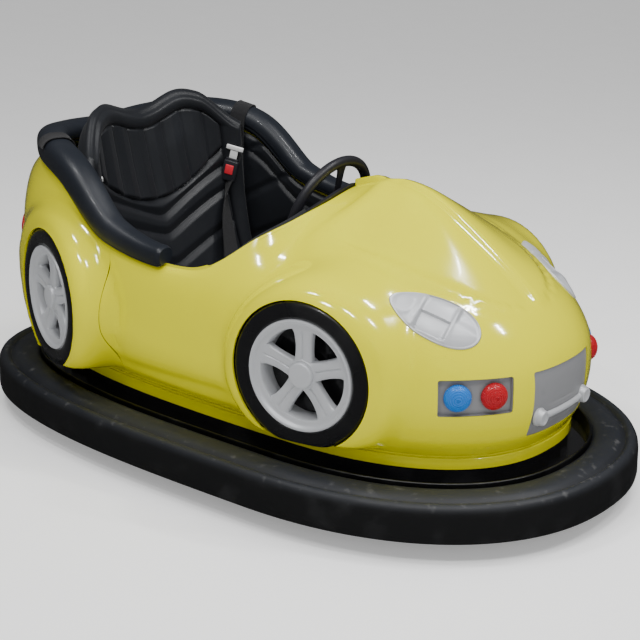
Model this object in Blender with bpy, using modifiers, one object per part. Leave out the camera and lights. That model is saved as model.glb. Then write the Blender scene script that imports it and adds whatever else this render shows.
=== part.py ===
"""Two-seat battery bumper car, in metres: +X forward, +Y left, +Z up, floor at z = 0.

Every plan outline is the bumper's outline moved inwards, so the pan, the hoop, the body and its
fittings follow the bumper when its length or width changes.
"""

import math

import bmesh
import bpy
from mathutils import Matrix, Vector
from mathutils.bvhtree import BVHTree

# Bumper outline: two superellipse halves that meet at the widest section
LENGTH = 1.95
WIDTH = 1.12
WIDEST_X = 0.245
BEARING_X = 0.12
FRONT_POWER = 2.22
REAR_POWER = 3.09
OUTLINE_STEPS = 34

# Rubber bumper section
BUMPER_BOTTOM = 0.050
BUMPER_SHOULDER = 0.145
BUMPER_CREST = 0.152
BUMPER_DEPTH = 0.123

# Chassis
GAP = 0.0003
BAND_WALL = 0.006
BAND_TOP = 0.153
BAND_BOTTOM = 0.062
PAN_TOP = 0.118
PAN_WALL = 0.012
RAIL_WIDTH = 0.030
RAIL_HEIGHT = 0.018
RAIL_Y = 0.190
HOOP_WIDTH = 0.026

# Body shell
BODY_BASE = 0.165
BODY_INSET = 0.178
FLANGE_HEIGHT = 0.030
SHELL_WALL = 0.006
LIP_DROP = 0.012
SEAM_BEARING = 129.0
SEAM_GAP = 0.04
NORMAL_STEP = 0.5
STEP = 5.0
LIP_GAP_BEARING = 0.05

# Cockpit edge: its own two superellipse halves
COCKPIT_X = -0.13
COCKPIT_FRONT = 0.300
COCKPIT_REAR = 0.620
COCKPIT_HALF_WIDTH = 0.395
COCKPIT_FRONT_POWER = 3.0
COCKPIT_REAR_POWER = 3.0

# Body stations: bearing at the foot, bearing at the cockpit edge, inset and height of the belly,
# then five (share of the way from belly to edge, height) points and the height of the edge
BODY_STATIONS = (
    (0, 0, 0.140, 0.335, ((0.02, 0.440), (0.16, 0.545), (0.40, 0.665), (0.66, 0.765), (0.85, 0.778)), 0.752),
    (18.5, 7, 0.136, 0.340, ((0.02, 0.430), (0.13, 0.525), (0.34, 0.620), (0.62, 0.722), (0.84, 0.755)), 0.748),
    (41, 16, 0.124, 0.350, ((0.04, 0.455), (0.15, 0.535), (0.35, 0.615), (0.60, 0.672), (0.82, 0.722)), 0.738),
    (62, 27, 0.110, 0.350, ((0.03, 0.455), (0.12, 0.535), (0.28, 0.595), (0.55, 0.640), (0.80, 0.688)), 0.722),
    (77, 38, 0.115, 0.325, ((0.02, 0.410), (0.10, 0.490), (0.27, 0.555), (0.54, 0.605), (0.80, 0.655)), 0.700),
    (90, 53, 0.118, 0.315, ((0.03, 0.390), (0.12, 0.465), (0.30, 0.530), (0.56, 0.585), (0.82, 0.632)), 0.662),
    (107, 78, 0.118, 0.315, ((0.02, 0.380), (0.09, 0.450), (0.24, 0.510), (0.50, 0.545), (0.78, 0.560)), 0.565),
    (129, 117, 0.108, 0.345, ((0.02, 0.420), (0.08, 0.500), (0.22, 0.555), (0.48, 0.580), (0.78, 0.590)), 0.592),
    (143, 136, 0.098, 0.400, ((0.02, 0.500), (0.10, 0.590), (0.27, 0.660), (0.52, 0.700), (0.80, 0.718)), 0.722),
    (155, 151, 0.092, 0.420, ((0.03, 0.530), (0.13, 0.620), (0.31, 0.690), (0.56, 0.732), (0.82, 0.748)), 0.750),
    (167, 165, 0.090, 0.420, ((0.03, 0.530), (0.13, 0.618), (0.31, 0.685), (0.56, 0.725), (0.82, 0.740)), 0.740),
    (180, 180, 0.090, 0.420, ((0.03, 0.530), (0.13, 0.615), (0.31, 0.680), (0.56, 0.715), (0.82, 0.730)), 0.730),
)

# Lamps, plate and bar on the body
HEADLIGHT_CENTRE = Vector((0.628, 0.275, 0.565))
HEADLIGHT_ALONG = Vector((-0.208, 0.078, 0.080))
HEADLIGHT_LENGTH = 0.238
HEADLIGHT_WIDTH = 0.118
LAMP_PANEL_CENTRE = Vector((0.750, 0.268, 0.370))
LAMP_PANEL_WIDTH = 0.186
LAMP_PANEL_HEIGHT = 0.090
LAMP_SPACING = 0.092
LAMP_RADIUS = 0.033
PLATE_CENTRE = Vector((0.830, 0.0, 0.325))
PLATE_WIDTH = 0.250
PLATE_HEIGHT = 0.170
PLATE_SINK = 0.0041
PANEL_RECESS = 0.010
TAIL_LAMP_CENTRE = Vector((-0.860, 0.255, 0.520))
TAIL_LAMP_LENGTH = 0.150
TAIL_LAMP_WIDTH = 0.070
BAR_REACH = 0.100
BAR_DROP = -0.035
KNOB_RADIUS = 0.017
KNOB_TOP = 0.024
FIT = 0.0004

# Side wheel covers (fixed to the body)
FRONT_COVER = Vector((0.356, 0.456, 0.388))
FRONT_COVER_TURN = math.radians(8.9)
REAR_COVER = Vector((-0.544, 0.444, 0.397))
REAR_COVER_TURN = math.radians(-21.9)
COVER_RADIUS = 0.144
SPOKES = 5
TYRE_RADIUS = 0.190
TYRE_DEPTH = 0.070
TYRE_DISC = 0.006
TYRE_FLAT = 0.214
FLARE_REACH = 1.42

# Drive unit and running wheels
DRIVE_X = 0.500
DRIVE_WHEEL_RADIUS = 0.100
DRIVE_WHEEL_WIDTH = 0.050
FORK_WALL = 0.008
BRIDGE_TOP = 0.236
DRIVE_HOLE_RADIUS = 0.135
REAR_AXLE_X = -0.560
REAR_WHEEL_Y = 0.250
REAR_WHEEL_RADIUS = 0.075
REAR_WHEEL_WIDTH = 0.040
AXLE_RADIUS = 0.010
RUNNING = 0.0006
CLEARANCE = 0.010

# Seat
SEAT_TOP = 0.335
CUSHION_HEIGHT = 0.075
CUSHION_FRONT = -0.030
CUSHION_HALF_WIDTH = 0.345
SEAT_BACK_FOOT = -0.420
SEAT_BACK_HEAD = -0.612
SEAT_BACK_DEPTH = 0.050
SEAT_BACK_HALF_WIDTH = 0.296
SEAT_BACK_WRAP = 0.120
HUMP_Y = 0.150
HUMP_TOP = 0.866
HUMP_DIP = 0.828
SHOULDER_TOP = 0.742
SEAT_BOX_HALF_WIDTH = 0.285
SEAT_BOX_WALL = 0.012
BATTERY_HALF_WIDTH = 0.200

# Cockpit trim
PAD_WALL = 0.022
PAD_BOTTOM = 0.270
DASH_END = 70.0
DASH_BOTTOM = 0.500
PAD_END = 135.0

# Rim roll
ROLL_RADIUS = 0.035
ROLL_FRONT_RADIUS = 0.024
ROLL_START = 115.0
ROLL_TAPER = 28.0
ROLL_LIFT = 0.0030

# Steering
WHEEL_CENTRE = Vector((0.080, 0.0, 0.655))
WHEEL_TILT = math.radians(18.0)
WHEEL_RADIUS = 0.152
WHEEL_GRIP = 0.0135
COLUMN_RADIUS = 0.030
SHAFT_RADIUS = 0.012
COLUMN_NEAR = -0.045
COLUMN_FAR = -0.310
COLUMN_OPENING = 0.330

# Belts
BELT_BEARING = 139.0
BELT_WIDTH = 0.046
BELT_THICKNESS = 0.002
BELT_DROP = 0.300


# Colours
YELLOW = (0.90, 0.80, 0.01)
SILVER = (0.55, 0.56, 0.58)
RUBBER = (0.020, 0.021, 0.024)
LEATHER = (0.014, 0.016, 0.020)
BLACK_STEEL = (0.012, 0.012, 0.013)


def superellipse(bearing, centre_x, front, rear, half_width, front_power, rear_power):
    """Plan point of a two-part superellipse at a bearing in degrees from straight ahead."""
    c = math.cos(math.radians(bearing))
    s = math.sin(math.radians(bearing))
    length = front if c > 0 else rear
    power = front_power if c > 0 else rear_power
    radius = ((abs(c) / length) ** power + (abs(s) / half_width) ** power) ** (-1 / power)
    return Vector((centre_x + radius * c, radius * s))


def outline(bearing, inset):
    """The bumper's outline moved squarely inwards, where a bearing from the body's middle meets it."""
    front = LENGTH / 2 - WIDEST_X
    rear = LENGTH / 2 + WIDEST_X
    low, high = 0.0, 180.0
    for _ in range(OUTLINE_STEPS):
        middle = (low + high) / 2
        point = superellipse(middle, WIDEST_X, front, rear, WIDTH / 2, FRONT_POWER, REAR_POWER)
        if math.degrees(math.atan2(point.y, point.x - BEARING_X)) < abs(bearing):
            low = middle
        else:
            high = middle
    point.y = math.copysign(point.y, bearing)
    length = front if point.x > WIDEST_X else rear
    power = FRONT_POWER if point.x > WIDEST_X else REAR_POWER
    x, y = point.x - WIDEST_X, point.y
    normal = Vector((
        math.copysign((abs(x) / length) ** (power - 1) / length, x),
        math.copysign((abs(y) * 2 / WIDTH) ** (power - 1) * 2 / WIDTH, y),
    ))
    return point - normal.normalized() * inset


def cockpit(bearing, inset):
    """The cockpit edge moved inwards."""
    return superellipse(
        bearing,
        COCKPIT_X,
        COCKPIT_FRONT - inset,
        COCKPIT_REAR - inset,
        COCKPIT_HALF_WIDTH - inset,
        COCKPIT_FRONT_POWER,
        COCKPIT_REAR_POWER,
    )


def smooth(x):
    """0 below 0, 1 above 1, and a smooth step between."""
    x = min(max(x, 0.0), 1.0)
    return x * x * (3 - 2 * x)


def blended(bearing, column, flat_ends=True):
    """A column of BODY_STATIONS at a bearing, by a cubic through the stations around it."""
    keys = [station[0] for station in BODY_STATIONS]
    last = len(keys) - 1
    bearing = min(max(bearing, keys[0]), keys[last])
    right = next(i for i in range(1, last + 1) if bearing <= keys[i])
    left = right - 1

    def value(i):
        return column(BODY_STATIONS[i])

    def slope(i):
        if flat_ends and i in (0, last):
            return 0.0
        before, after = max(i - 1, 0), min(i + 1, last)
        return (value(after) - value(before)) / (keys[after] - keys[before])

    span = keys[right] - keys[left]
    t = (bearing - keys[left]) / span
    return (
        (2 * t**3 - 3 * t**2 + 1) * value(left)
        + (t**3 - 2 * t**2 + t) * span * slope(left)
        + (3 * t**2 - 2 * t**3) * value(right)
        + (t**3 - t**2) * span * slope(right)
    )


def edge_bearing_at(bearing):
    """Bearing on the cockpit edge that belongs to a bearing on the bumper."""
    return blended(bearing, lambda s: s[1], flat_ends=False)


def body_profile(bearing):
    """Points of the body's outer face at a bearing from 0 to 180, from its foot over the cockpit's lip."""
    edge_bearing = edge_bearing_at(bearing)
    belly_inset = blended(bearing, lambda s: s[2])
    belly_height = blended(bearing, lambda s: s[3])
    edge_height = blended(bearing, lambda s: s[5])
    flange_top = BODY_BASE + FLANGE_HEIGHT
    foot = outline(bearing, BODY_INSET)
    lower = outline(bearing, BODY_INSET + 0.62 * (belly_inset - BODY_INSET))
    belly = outline(bearing, belly_inset)
    edge = cockpit(edge_bearing, 0.0)
    points = [
        Vector((*foot, BODY_BASE)),
        Vector((*foot, flange_top)),
        Vector((*lower, flange_top + 0.40 * (belly_height - flange_top))),
        Vector((*belly, belly_height)),
    ]
    for i in range(5):
        share = blended(bearing, lambda s, i=i: s[4][i][0])
        height = blended(bearing, lambda s, i=i: s[4][i][1])
        points.append(Vector((*belly.lerp(edge, share), height)))
    points.append(Vector((*edge, edge_height)))
    points.append(Vector((*edge, edge_height - LIP_DROP)))
    return [flared(point) for point in points]


def flared(point):
    """A body point pushed out to the plane of a side wheel that it is near."""
    result = point.copy()
    for centre, turn in ((FRONT_COVER, FRONT_COVER_TURN), (REAR_COVER, REAR_COVER_TURN)):
        along = point.x - centre.x
        distance = math.hypot(along, point.z - centre.z)
        near = smooth((FLARE_REACH - distance / TYRE_RADIUS) / (FLARE_REACH - 1.0))
        near *= smooth((point.z - BODY_BASE - FLANGE_HEIGHT + 0.012) / 0.03)
        plane = centre.y - math.tan(turn) * along
        result.y += near * max(0.0, plane - result.y)
    return result


# Scene helpers


def new_collection(name):
    collection = bpy.data.collections.new(name)
    bpy.context.scene.collection.children.link(collection)
    return collection


def material(name, color, roughness, metallic=0.0):
    found = bpy.data.materials.get(name)
    if found:
        return found
    made = bpy.data.materials.new(name)
    made.use_nodes = True
    shader = made.node_tree.nodes["Principled BSDF"]
    shader.inputs["Base Color"].default_value = (*color, 1.0)
    shader.inputs["Roughness"].default_value = roughness
    shader.inputs["Metallic"].default_value = metallic
    return made


FINISHES = {
    "gelcoat": (YELLOW, 0.12, 0.0),
    "silver_paint": (SILVER, 0.30, 0.6),
    "bumper_rubber": (RUBBER, 0.55, 0.0),
    "tyre_rubber": (BLACK_STEEL, 0.40, 0.0),
    "leather": (LEATHER, 0.45, 0.0),
    "webbing": (BLACK_STEEL, 0.80, 0.0),
    "black_steel": (BLACK_STEEL, 0.30, 0.0),
    "black_plastic": (LEATHER, 0.40, 0.0),
    "blue_lens": ((0.02, 0.18, 0.60), 0.10, 0.0),
    "red_lens": ((0.45, 0.01, 0.02), 0.10, 0.0),
    "red_plastic": ((0.60, 0.02, 0.03), 0.35, 0.0),
    "chrome": (SILVER, 0.12, 1.0),
    "battery_case": ((0.05, 0.05, 0.06), 0.50, 0.0),
    "motor_paint": ((0.10, 0.10, 0.11), 0.45, 0.3),
    "wheel_rubber": ((0.03, 0.03, 0.03), 0.60, 0.0),
    "bright_steel": (SILVER, 0.35, 1.0),
}


def node_object(name, mesh, finish, collection):
    """An object for one node, with its own material."""
    obj = bpy.data.objects.new(name, mesh)
    color, roughness, metallic = FINISHES[finish]
    obj.data.materials.append(material(name, color, roughness, metallic))
    collection.objects.link(obj)
    return obj


def mesh_of_grid(name, rows, closed_rows, closed_columns, capped=False):
    """Mesh of quads between rows of points. Closed rows join their ends, and closed columns their last row."""
    mesh = bmesh.new()
    grid = [[mesh.verts.new(point) for point in row] for row in rows]
    count = len(rows)
    width = len(rows[0])
    for i in range(count if closed_columns else count - 1):
        for j in range(width if closed_rows else width - 1):
            here, there = grid[i], grid[(i + 1) % count]
            k = (j + 1) % width
            mesh.faces.new((here[j], here[k], there[k], there[j]))
    if capped:
        mesh.faces.new(grid[0])
        mesh.faces.new(list(reversed(grid[-1])))
    bmesh.ops.recalc_face_normals(mesh, faces=mesh.faces)
    data = bpy.data.meshes.new(name)
    mesh.to_mesh(data)
    mesh.free()
    return data


def shade_smooth(obj, angle=35.0):
    obj.data.shade_smooth()
    obj.data.set_sharp_from_angle(angle=math.radians(angle))


def box_mesh(name, low, high):
    mesh = bmesh.new()
    bmesh.ops.create_cube(mesh, size=1.0)
    low, high = Vector(low), Vector(high)
    size = high - low
    bmesh.ops.scale(mesh, vec=size, verts=mesh.verts)
    bmesh.ops.translate(mesh, vec=(low + high) / 2, verts=mesh.verts)
    data = bpy.data.meshes.new(name)
    mesh.to_mesh(data)
    mesh.free()
    return data


def cylinder_mesh(name, radius, height, segments=32, top_radius=None):
    """Cylinder or cone about Z, centred."""
    mesh = bmesh.new()
    top = radius if top_radius is None else top_radius
    bmesh.ops.create_cone(mesh, cap_ends=True, segments=segments, radius1=radius, radius2=top, depth=height)
    data = bpy.data.meshes.new(name)
    mesh.to_mesh(data)
    mesh.free()
    return data


def turned_mesh(name, profile, segments=40):
    """Solid turned about Z from a closed (radius, height) profile that keeps off the axis."""
    rows = []
    for i in range(segments):
        angle = 2 * math.pi * i / segments
        rows.append([Vector((r * math.cos(angle), r * math.sin(angle), z)) for r, z in profile])
    return mesh_of_grid(name, rows, True, True)


def evaluated_mesh(obj):
    """The object's mesh with its modifiers applied."""
    bpy.context.view_layer.update()
    return bpy.data.meshes.new_from_object(obj.evaluated_get(bpy.context.evaluated_depsgraph_get()))


def baked(obj):
    """Apply the object's modifiers."""
    made = evaluated_mesh(obj)
    old = obj.data
    obj.modifiers.clear()
    obj.data = made
    bpy.data.meshes.remove(old)
    return obj


def helper(name, mesh, cutters):
    """A hidden object for a Boolean."""
    obj = bpy.data.objects.new(name, mesh)
    obj.hide_render = True
    obj.display_type = "WIRE"
    cutters.objects.link(obj)
    return obj


def boolean(obj, other, operation):
    modifier = obj.modifiers.new(f"{operation.lower()}_{other.name}", "BOOLEAN")
    modifier.operation = operation
    modifier.object = other
    modifier.solver = "EXACT"


def axis_matrix(origin, axis, up=Vector((0, 0, 1))):
    """Places local Z along an axis and local Y as near to up as it can be."""
    z = Vector(axis).normalized()
    x = up.cross(z).normalized()
    y = z.cross(x)
    matrix = Matrix((x, y, z)).transposed().to_4x4()
    matrix.translation = origin
    return matrix


# Chassis pieces


def hoop_rows(section, bearings):
    """Rows of a closed hoop: its section is a list of (inset from the bumper's outline, height)."""
    return [[Vector((*outline(b, inset), z)) for inset, z in section] for b in bearings]


def full_turn(steps):
    return [360.0 * i / steps - 180.0 for i in range(steps)]


def build_bumper(parts):
    section = (
        (0.004, BUMPER_BOTTOM),
        (0.000, BUMPER_BOTTOM + 0.020),
        (0.002, BUMPER_SHOULDER - 0.016),
        (0.011, BUMPER_SHOULDER),
        (0.024, BUMPER_SHOULDER + 0.004),
        (0.036, BUMPER_SHOULDER - 0.005),
        (0.055, BUMPER_CREST - 0.003),
        (0.080, BUMPER_CREST),
        (0.105, BUMPER_CREST - 0.005),
        (BUMPER_DEPTH, BUMPER_SHOULDER - 0.006),
        (BUMPER_DEPTH, BUMPER_BOTTOM + 0.016),
        (0.100, BUMPER_BOTTOM),
    )
    mesh = mesh_of_grid("bumper_ring", hoop_rows(section, full_turn(60)), True, True)
    shade_smooth(node_object("bumper_ring", mesh, "bumper_rubber", parts))


def build_band(parts):
    outer = BUMPER_DEPTH + 2 * GAP
    inner = outer + BAND_WALL
    section = ((outer, BAND_BOTTOM), (outer, BAND_TOP), (inner, BAND_TOP), (inner, BAND_BOTTOM))
    mesh = mesh_of_grid("bumper_band", hoop_rows(section, full_turn(60)), True, True)
    shade_smooth(node_object("bumper_band", mesh, "black_steel", parts))
    return inner


def build_pan(parts, cutters, band_inner):
    inset = band_inner + 2 * GAP
    rim = [Vector((*outline(b, inset), PAN_TOP - PAN_WALL)) for b in full_turn(60)]
    mesh = bmesh.new()
    face = mesh.faces.new([mesh.verts.new(p) for p in rim])
    lifted = bmesh.ops.extrude_face_region(mesh, geom=[face])
    raised = [v for v in lifted["geom"] if isinstance(v, bmesh.types.BMVert)]
    bmesh.ops.translate(mesh, vec=(0, 0, PAN_WALL), verts=raised)
    bmesh.ops.recalc_face_normals(mesh, faces=mesh.faces)
    data = bpy.data.meshes.new("floor_pan")
    mesh.to_mesh(data)
    mesh.free()
    pan = node_object("floor_pan", data, "black_steel", parts)
    hole = helper("drive_hole", cylinder_mesh("drive_hole", DRIVE_HOLE_RADIUS, 0.1, 40), cutters)
    hole.location = (DRIVE_X, 0, PAN_TOP)
    boolean(pan, hole, "DIFFERENCE")
    half = REAR_WHEEL_RADIUS + CLEARANCE
    across = REAR_WHEEL_WIDTH / 2 + CLEARANCE
    for side in (-1, 1):
        y = side * REAR_WHEEL_Y
        low = (REAR_AXLE_X - half, y - across, 0)
        high = (REAR_AXLE_X + half, y + across, 2 * PAN_TOP)
        boolean(pan, helper(f"wheel_slot_{side}", box_mesh("wheel_slot", low, high), cutters), "DIFFERENCE")


def build_frame(parts, cutters):
    """Two rails and three cross members under the pan, as one weldment."""
    top = PAN_TOP - PAN_WALL - GAP
    bottom = top - RAIL_HEIGHT
    front = 0.760
    rear = -0.780
    half = RAIL_WIDTH / 2
    low = (rear, -RAIL_Y - half, bottom)
    high = (front, -RAIL_Y + half, top)
    frame = node_object("chassis_frame", box_mesh("chassis_frame", low, high), "black_steel", parts)
    pieces = [((rear, RAIL_Y - half, bottom), (front, RAIL_Y + half, top))]
    for x in (rear + 0.06, -0.10, DRIVE_X - DRIVE_HOLE_RADIUS - 0.04, front - 0.06):
        pieces.append(((x - half, -RAIL_Y, bottom + 0.004), (x + half, RAIL_Y, top - 0.004)))
    for i, (low, high) in enumerate(pieces):
        boolean(frame, helper(f"frame_member_{i}", box_mesh("frame_member", low, high), cutters), "UNION")


def build_hoop(parts):
    outer = BODY_INSET + 0.002
    inner = outer + HOOP_WIDTH
    bottom = PAN_TOP + GAP
    top = BODY_BASE - GAP
    section = ((outer, bottom), (outer, top), (inner, top), (inner, bottom))
    mesh = mesh_of_grid("body_frame", hoop_rows(section, full_turn(60)), True, True)
    shade_smooth(node_object("body_frame", mesh, "black_steel", parts))


# Body


def bearings_between(first, last):
    """Bearings every STEP, with both ends."""
    inner = [STEP * i for i in range(-72, 73) if first + 1 < STEP * i < last - 1]
    return [first, *inner, last]


def face_row(bearing):
    """The body's outer face at a bearing, left positive, from its foot to its lip."""
    turned = (bearing + 180) % 360 - 180
    row = body_profile(abs(turned))
    for point in row:
        point.y = math.copysign(point.y, turned)
    return row


def shell_mesh(name, bearings):
    """A closed wall between two bearings: the outer face, and an inner face squarely behind it."""
    rows = []
    for bearing in bearings:
        outer = face_row(bearing)
        before = face_row(bearing - NORMAL_STEP)
        after = face_row(bearing + NORMAL_STEP)
        inner = []
        last = len(outer) - 1
        for j, point in enumerate(outer):
            along = after[j] - before[j]
            up = outer[min(j + 1, last)] - outer[max(j - 1, 0)]
            inner.append(point - along.cross(up).normalized() * SHELL_WALL)
        inner[-2] = inner[-1] + Vector((0, 0, LIP_DROP / 8))
        rows.append(outer + inner[::-1])
    mesh = bmesh.new()
    grid = [[mesh.verts.new(point) for point in row] for row in rows]
    width = len(rows[0])
    for here, there in zip(grid, grid[1:]):
        for j in range(width):
            k = (j + 1) % width
            mesh.faces.new((here[j], here[k], there[k], there[j]))
    for end in (grid[0], grid[-1]):
        for j in range(width // 2 - 1):
            mesh.faces.new((end[j], end[j + 1], end[width - 2 - j], end[width - 1 - j]))
    bmesh.ops.recalc_face_normals(mesh, faces=mesh.faces)
    bmesh.ops.triangulate(mesh, faces=mesh.faces)
    data = bpy.data.meshes.new(name)
    mesh.to_mesh(data)
    mesh.free()
    return data


def arch_cutter(centre, turn, side, cutters, grow, name):
    """A drum about a side wheel's axis with a flat foot."""
    depth = 0.16
    mesh = bmesh.new()
    bmesh.ops.create_cone(
        mesh, cap_ends=True, segments=36, radius1=TYRE_RADIUS + grow, radius2=TYRE_RADIUS + grow, depth=depth
    )
    matrix = cover_matrix(centre, turn, side)
    bmesh.ops.transform(mesh, matrix=matrix, verts=mesh.verts)
    cut = bmesh.ops.bisect_plane(
        mesh,
        geom=mesh.verts[:] + mesh.edges[:] + mesh.faces[:],
        plane_co=(0, 0, TYRE_FLAT - grow),
        plane_no=(0, 0, 1),
        clear_inner=True,
    )
    bmesh.ops.holes_fill(mesh, edges=[e for e in cut["geom_cut"] if isinstance(e, bmesh.types.BMEdge)])
    bmesh.ops.recalc_face_normals(mesh, faces=mesh.faces)
    data = bpy.data.meshes.new(name)
    mesh.to_mesh(data)
    mesh.free()
    return helper(name, data, cutters)


def cover_matrix(centre, turn, side):
    """Places local Z along a side wheel's outward axis: side 1 is left, -1 right."""
    origin = Vector((centre.x, side * centre.y, centre.z))
    return axis_matrix(origin, (math.sin(turn), side * math.cos(turn), 0))


def outward_face():
    """The whole outer face of the body, for placing what sits on it."""
    mesh = mesh_of_grid("face", [face_row(2.0 * i) for i in range(-89, 91)], False, True)
    made = bmesh.new()
    made.from_mesh(mesh)
    bpy.data.meshes.remove(mesh)
    bmesh.ops.triangulate(made, faces=made.faces)
    tree = BVHTree.FromBMesh(made)
    made.free()
    return tree


def face_frame(tree, target, along):
    """Local X, Y, Z and origin on the body's face, near a target point: Z points out and X runs along."""
    point, normal, _, _ = tree.find_nearest(Vector(target))
    centre = Vector((0.1, 0.0, 0.35))
    if normal.dot(point - centre) < 0:
        normal = -normal
    x = Vector(along) - normal * normal.dot(Vector(along))
    x.normalize()
    y = normal.cross(x)
    matrix = Matrix((x, y, normal)).transposed().to_4x4()
    matrix.translation = point
    return matrix


def face_height(tree, matrix, x, y):
    """Height of the body's face above the local plane."""
    start = matrix @ Vector((x, y, 0.15))
    way = -(matrix.to_3x3() @ Vector((0, 0, 1)))
    hit, _, _, _ = tree.ray_cast(start, way, 0.4)
    if hit is None:
        return 0.0
    return (matrix.inverted() @ hit).z


def pad_mesh(name, tree, matrix, edge, shares, raised, sunk):
    """A closed pad that follows the body's face inside an outline. raised(share) is its height above the face."""
    mesh = bmesh.new()
    top = []
    bottom = []
    rings = len(shares)
    for share in shares:
        top.append([])
        bottom.append([])
        for x, y in edge:
            height = face_height(tree, matrix, x * share, y * share)
            top[-1].append(mesh.verts.new(matrix @ Vector((x * share, y * share, height + raised(share)))))
            bottom[-1].append(mesh.verts.new(matrix @ Vector((x * share, y * share, height - sunk))))
    count = len(edge)
    middle = face_height(tree, matrix, 0, 0)
    apex = mesh.verts.new(matrix @ Vector((0, 0, middle + raised(0))))
    base = mesh.verts.new(matrix @ Vector((0, 0, middle - sunk)))
    for j in range(count):
        k = (j + 1) % count
        mesh.faces.new((apex, top[0][j], top[0][k]))
        mesh.faces.new((base, bottom[0][k], bottom[0][j]))
        for i in range(rings - 1):
            mesh.faces.new((top[i][j], top[i + 1][j], top[i + 1][k], top[i][k]))
            mesh.faces.new((bottom[i][k], bottom[i + 1][k], bottom[i + 1][j], bottom[i][j]))
        mesh.faces.new((top[-1][j], bottom[-1][j], bottom[-1][k], top[-1][k]))
    bmesh.ops.recalc_face_normals(mesh, faces=mesh.faces)
    data = bpy.data.meshes.new(name)
    mesh.to_mesh(data)
    mesh.free()
    return data


def almond(length, width, count=20):
    """Headlight outline: an ellipse that is fuller at its rear end."""
    points = []
    for i in range(count):
        angle = 2 * math.pi * i / count
        c, s = math.cos(angle), math.sin(angle)
        points.append((length / 2 * c, width / 2 * s * (1.0 - 0.18 * c)))
    return points


def rounded_rectangle(width, height, radius, steps=3):
    points = []
    for quarter, (sx, sy) in enumerate(((1, 1), (-1, 1), (-1, -1), (1, -1))):
        for i in range(steps + 1):
            angle = math.pi / 2 * (quarter + i / steps)
            x = sx * (width / 2 - radius) + radius * math.cos(angle)
            y = sy * (height / 2 - radius) + radius * math.sin(angle)
            points.append((x, y))
    return points


def grown(edge, amount):
    """An outline moved outwards from its middle."""
    result = []
    for x, y in edge:
        length = math.hypot(x, y)
        result.append((x * (1 + amount / length), y * (1 + amount / length)))
    return result


def build_body(parts, cutters):
    tree = outward_face()
    seam = SEAM_BEARING - SEAM_GAP / 2
    front = node_object("front_shell", shell_mesh("front_shell", bearings_between(-seam, seam)), "gelcoat", parts)
    seam = SEAM_BEARING + SEAM_GAP / 2
    behind = bearings_between(seam, 360 - seam)
    rear = node_object("rear_shell", shell_mesh("rear_shell", behind), "gelcoat", parts)
    for side, word in ((-1, "right"), (1, "left")):
        build_side_wheel(parts, cutters, front, FRONT_COVER, FRONT_COVER_TURN, side, f"front_{word}")
        build_side_wheel(parts, cutters, rear, REAR_COVER, REAR_COVER_TURN, side, f"rear_{word}")
        build_headlight(parts, cutters, tree, front, side, word)
        build_lamp_panel(parts, cutters, tree, front, side, word)
        build_tail_lamp(parts, cutters, tree, rear, side, word)
    build_nose_plate(parts, cutters, tree, front)
    for shell in (front, rear):
        baked(shell)
        shade_smooth(shell)


def flipped(vector, side):
    return Vector((vector.x, side * vector.y, vector.z))


def tray(share):
    """Height of a recessed panel above the body's face: its floor, then its rim."""
    return -PANEL_RECESS if share < 0.95 else -0.001


def cut_pad(shell, cutters, tree, matrix, edge, name):
    """Cut the shell to an outline."""
    mesh = pad_mesh(name, tree, matrix, grown(edge, FIT), (1.0,), lambda share: 0.04, 0.04)
    boolean(shell, helper(name, mesh, cutters), "DIFFERENCE")


def build_headlight(parts, cutters, tree, shell, side, word):
    matrix = face_frame(tree, flipped(HEADLIGHT_CENTRE, side), flipped(HEADLIGHT_ALONG, side))
    edge = almond(HEADLIGHT_LENGTH, HEADLIGHT_WIDTH)
    shares = (0.35, 0.7, 1.0)
    mesh = pad_mesh(f"headlight_{word}", tree, matrix, edge, shares, lambda share: 0.010 * (1 - share**2), 0.012)
    shade_smooth(node_object(f"headlight_{word}", mesh, "silver_paint", parts))
    cut_pad(shell, cutters, tree, matrix, edge, f"headlight_opening_{word}")


def build_lamp_panel(parts, cutters, tree, shell, side, word):
    matrix = face_frame(tree, flipped(LAMP_PANEL_CENTRE, side), Vector((0.72, -side * 0.69, 0)))
    edge = rounded_rectangle(LAMP_PANEL_WIDTH, LAMP_PANEL_HEIGHT, 0.006)
    mesh = pad_mesh(f"lamp_panel_{word}", tree, matrix, edge, (0.5, 0.93, 1.0), tray, PANEL_RECESS + 0.006)
    node_object(f"lamp_panel_{word}", mesh, "silver_paint", parts)
    cut_pad(shell, cutters, tree, matrix, edge, f"lamp_opening_{word}")
    for offset, colour in ((-1, "blue"), (1, "red")):
        x = offset * LAMP_SPACING / 2
        here = matrix @ Vector((x, 0, face_height(tree, matrix, x, 0)))
        seat = face_frame(tree, here, matrix.to_3x3() @ Vector((1, 0, 0)))
        lamp = dome_mesh(f"{colour}_lamp_{word}", LAMP_RADIUS, 0.026)
        obj = node_object(f"{colour}_lamp_{word}", lamp, f"{colour}_lens", parts)
        obj.matrix_world = seat @ Matrix.Translation((0, 0, GAP - PANEL_RECESS))
        shade_smooth(obj)


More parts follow.
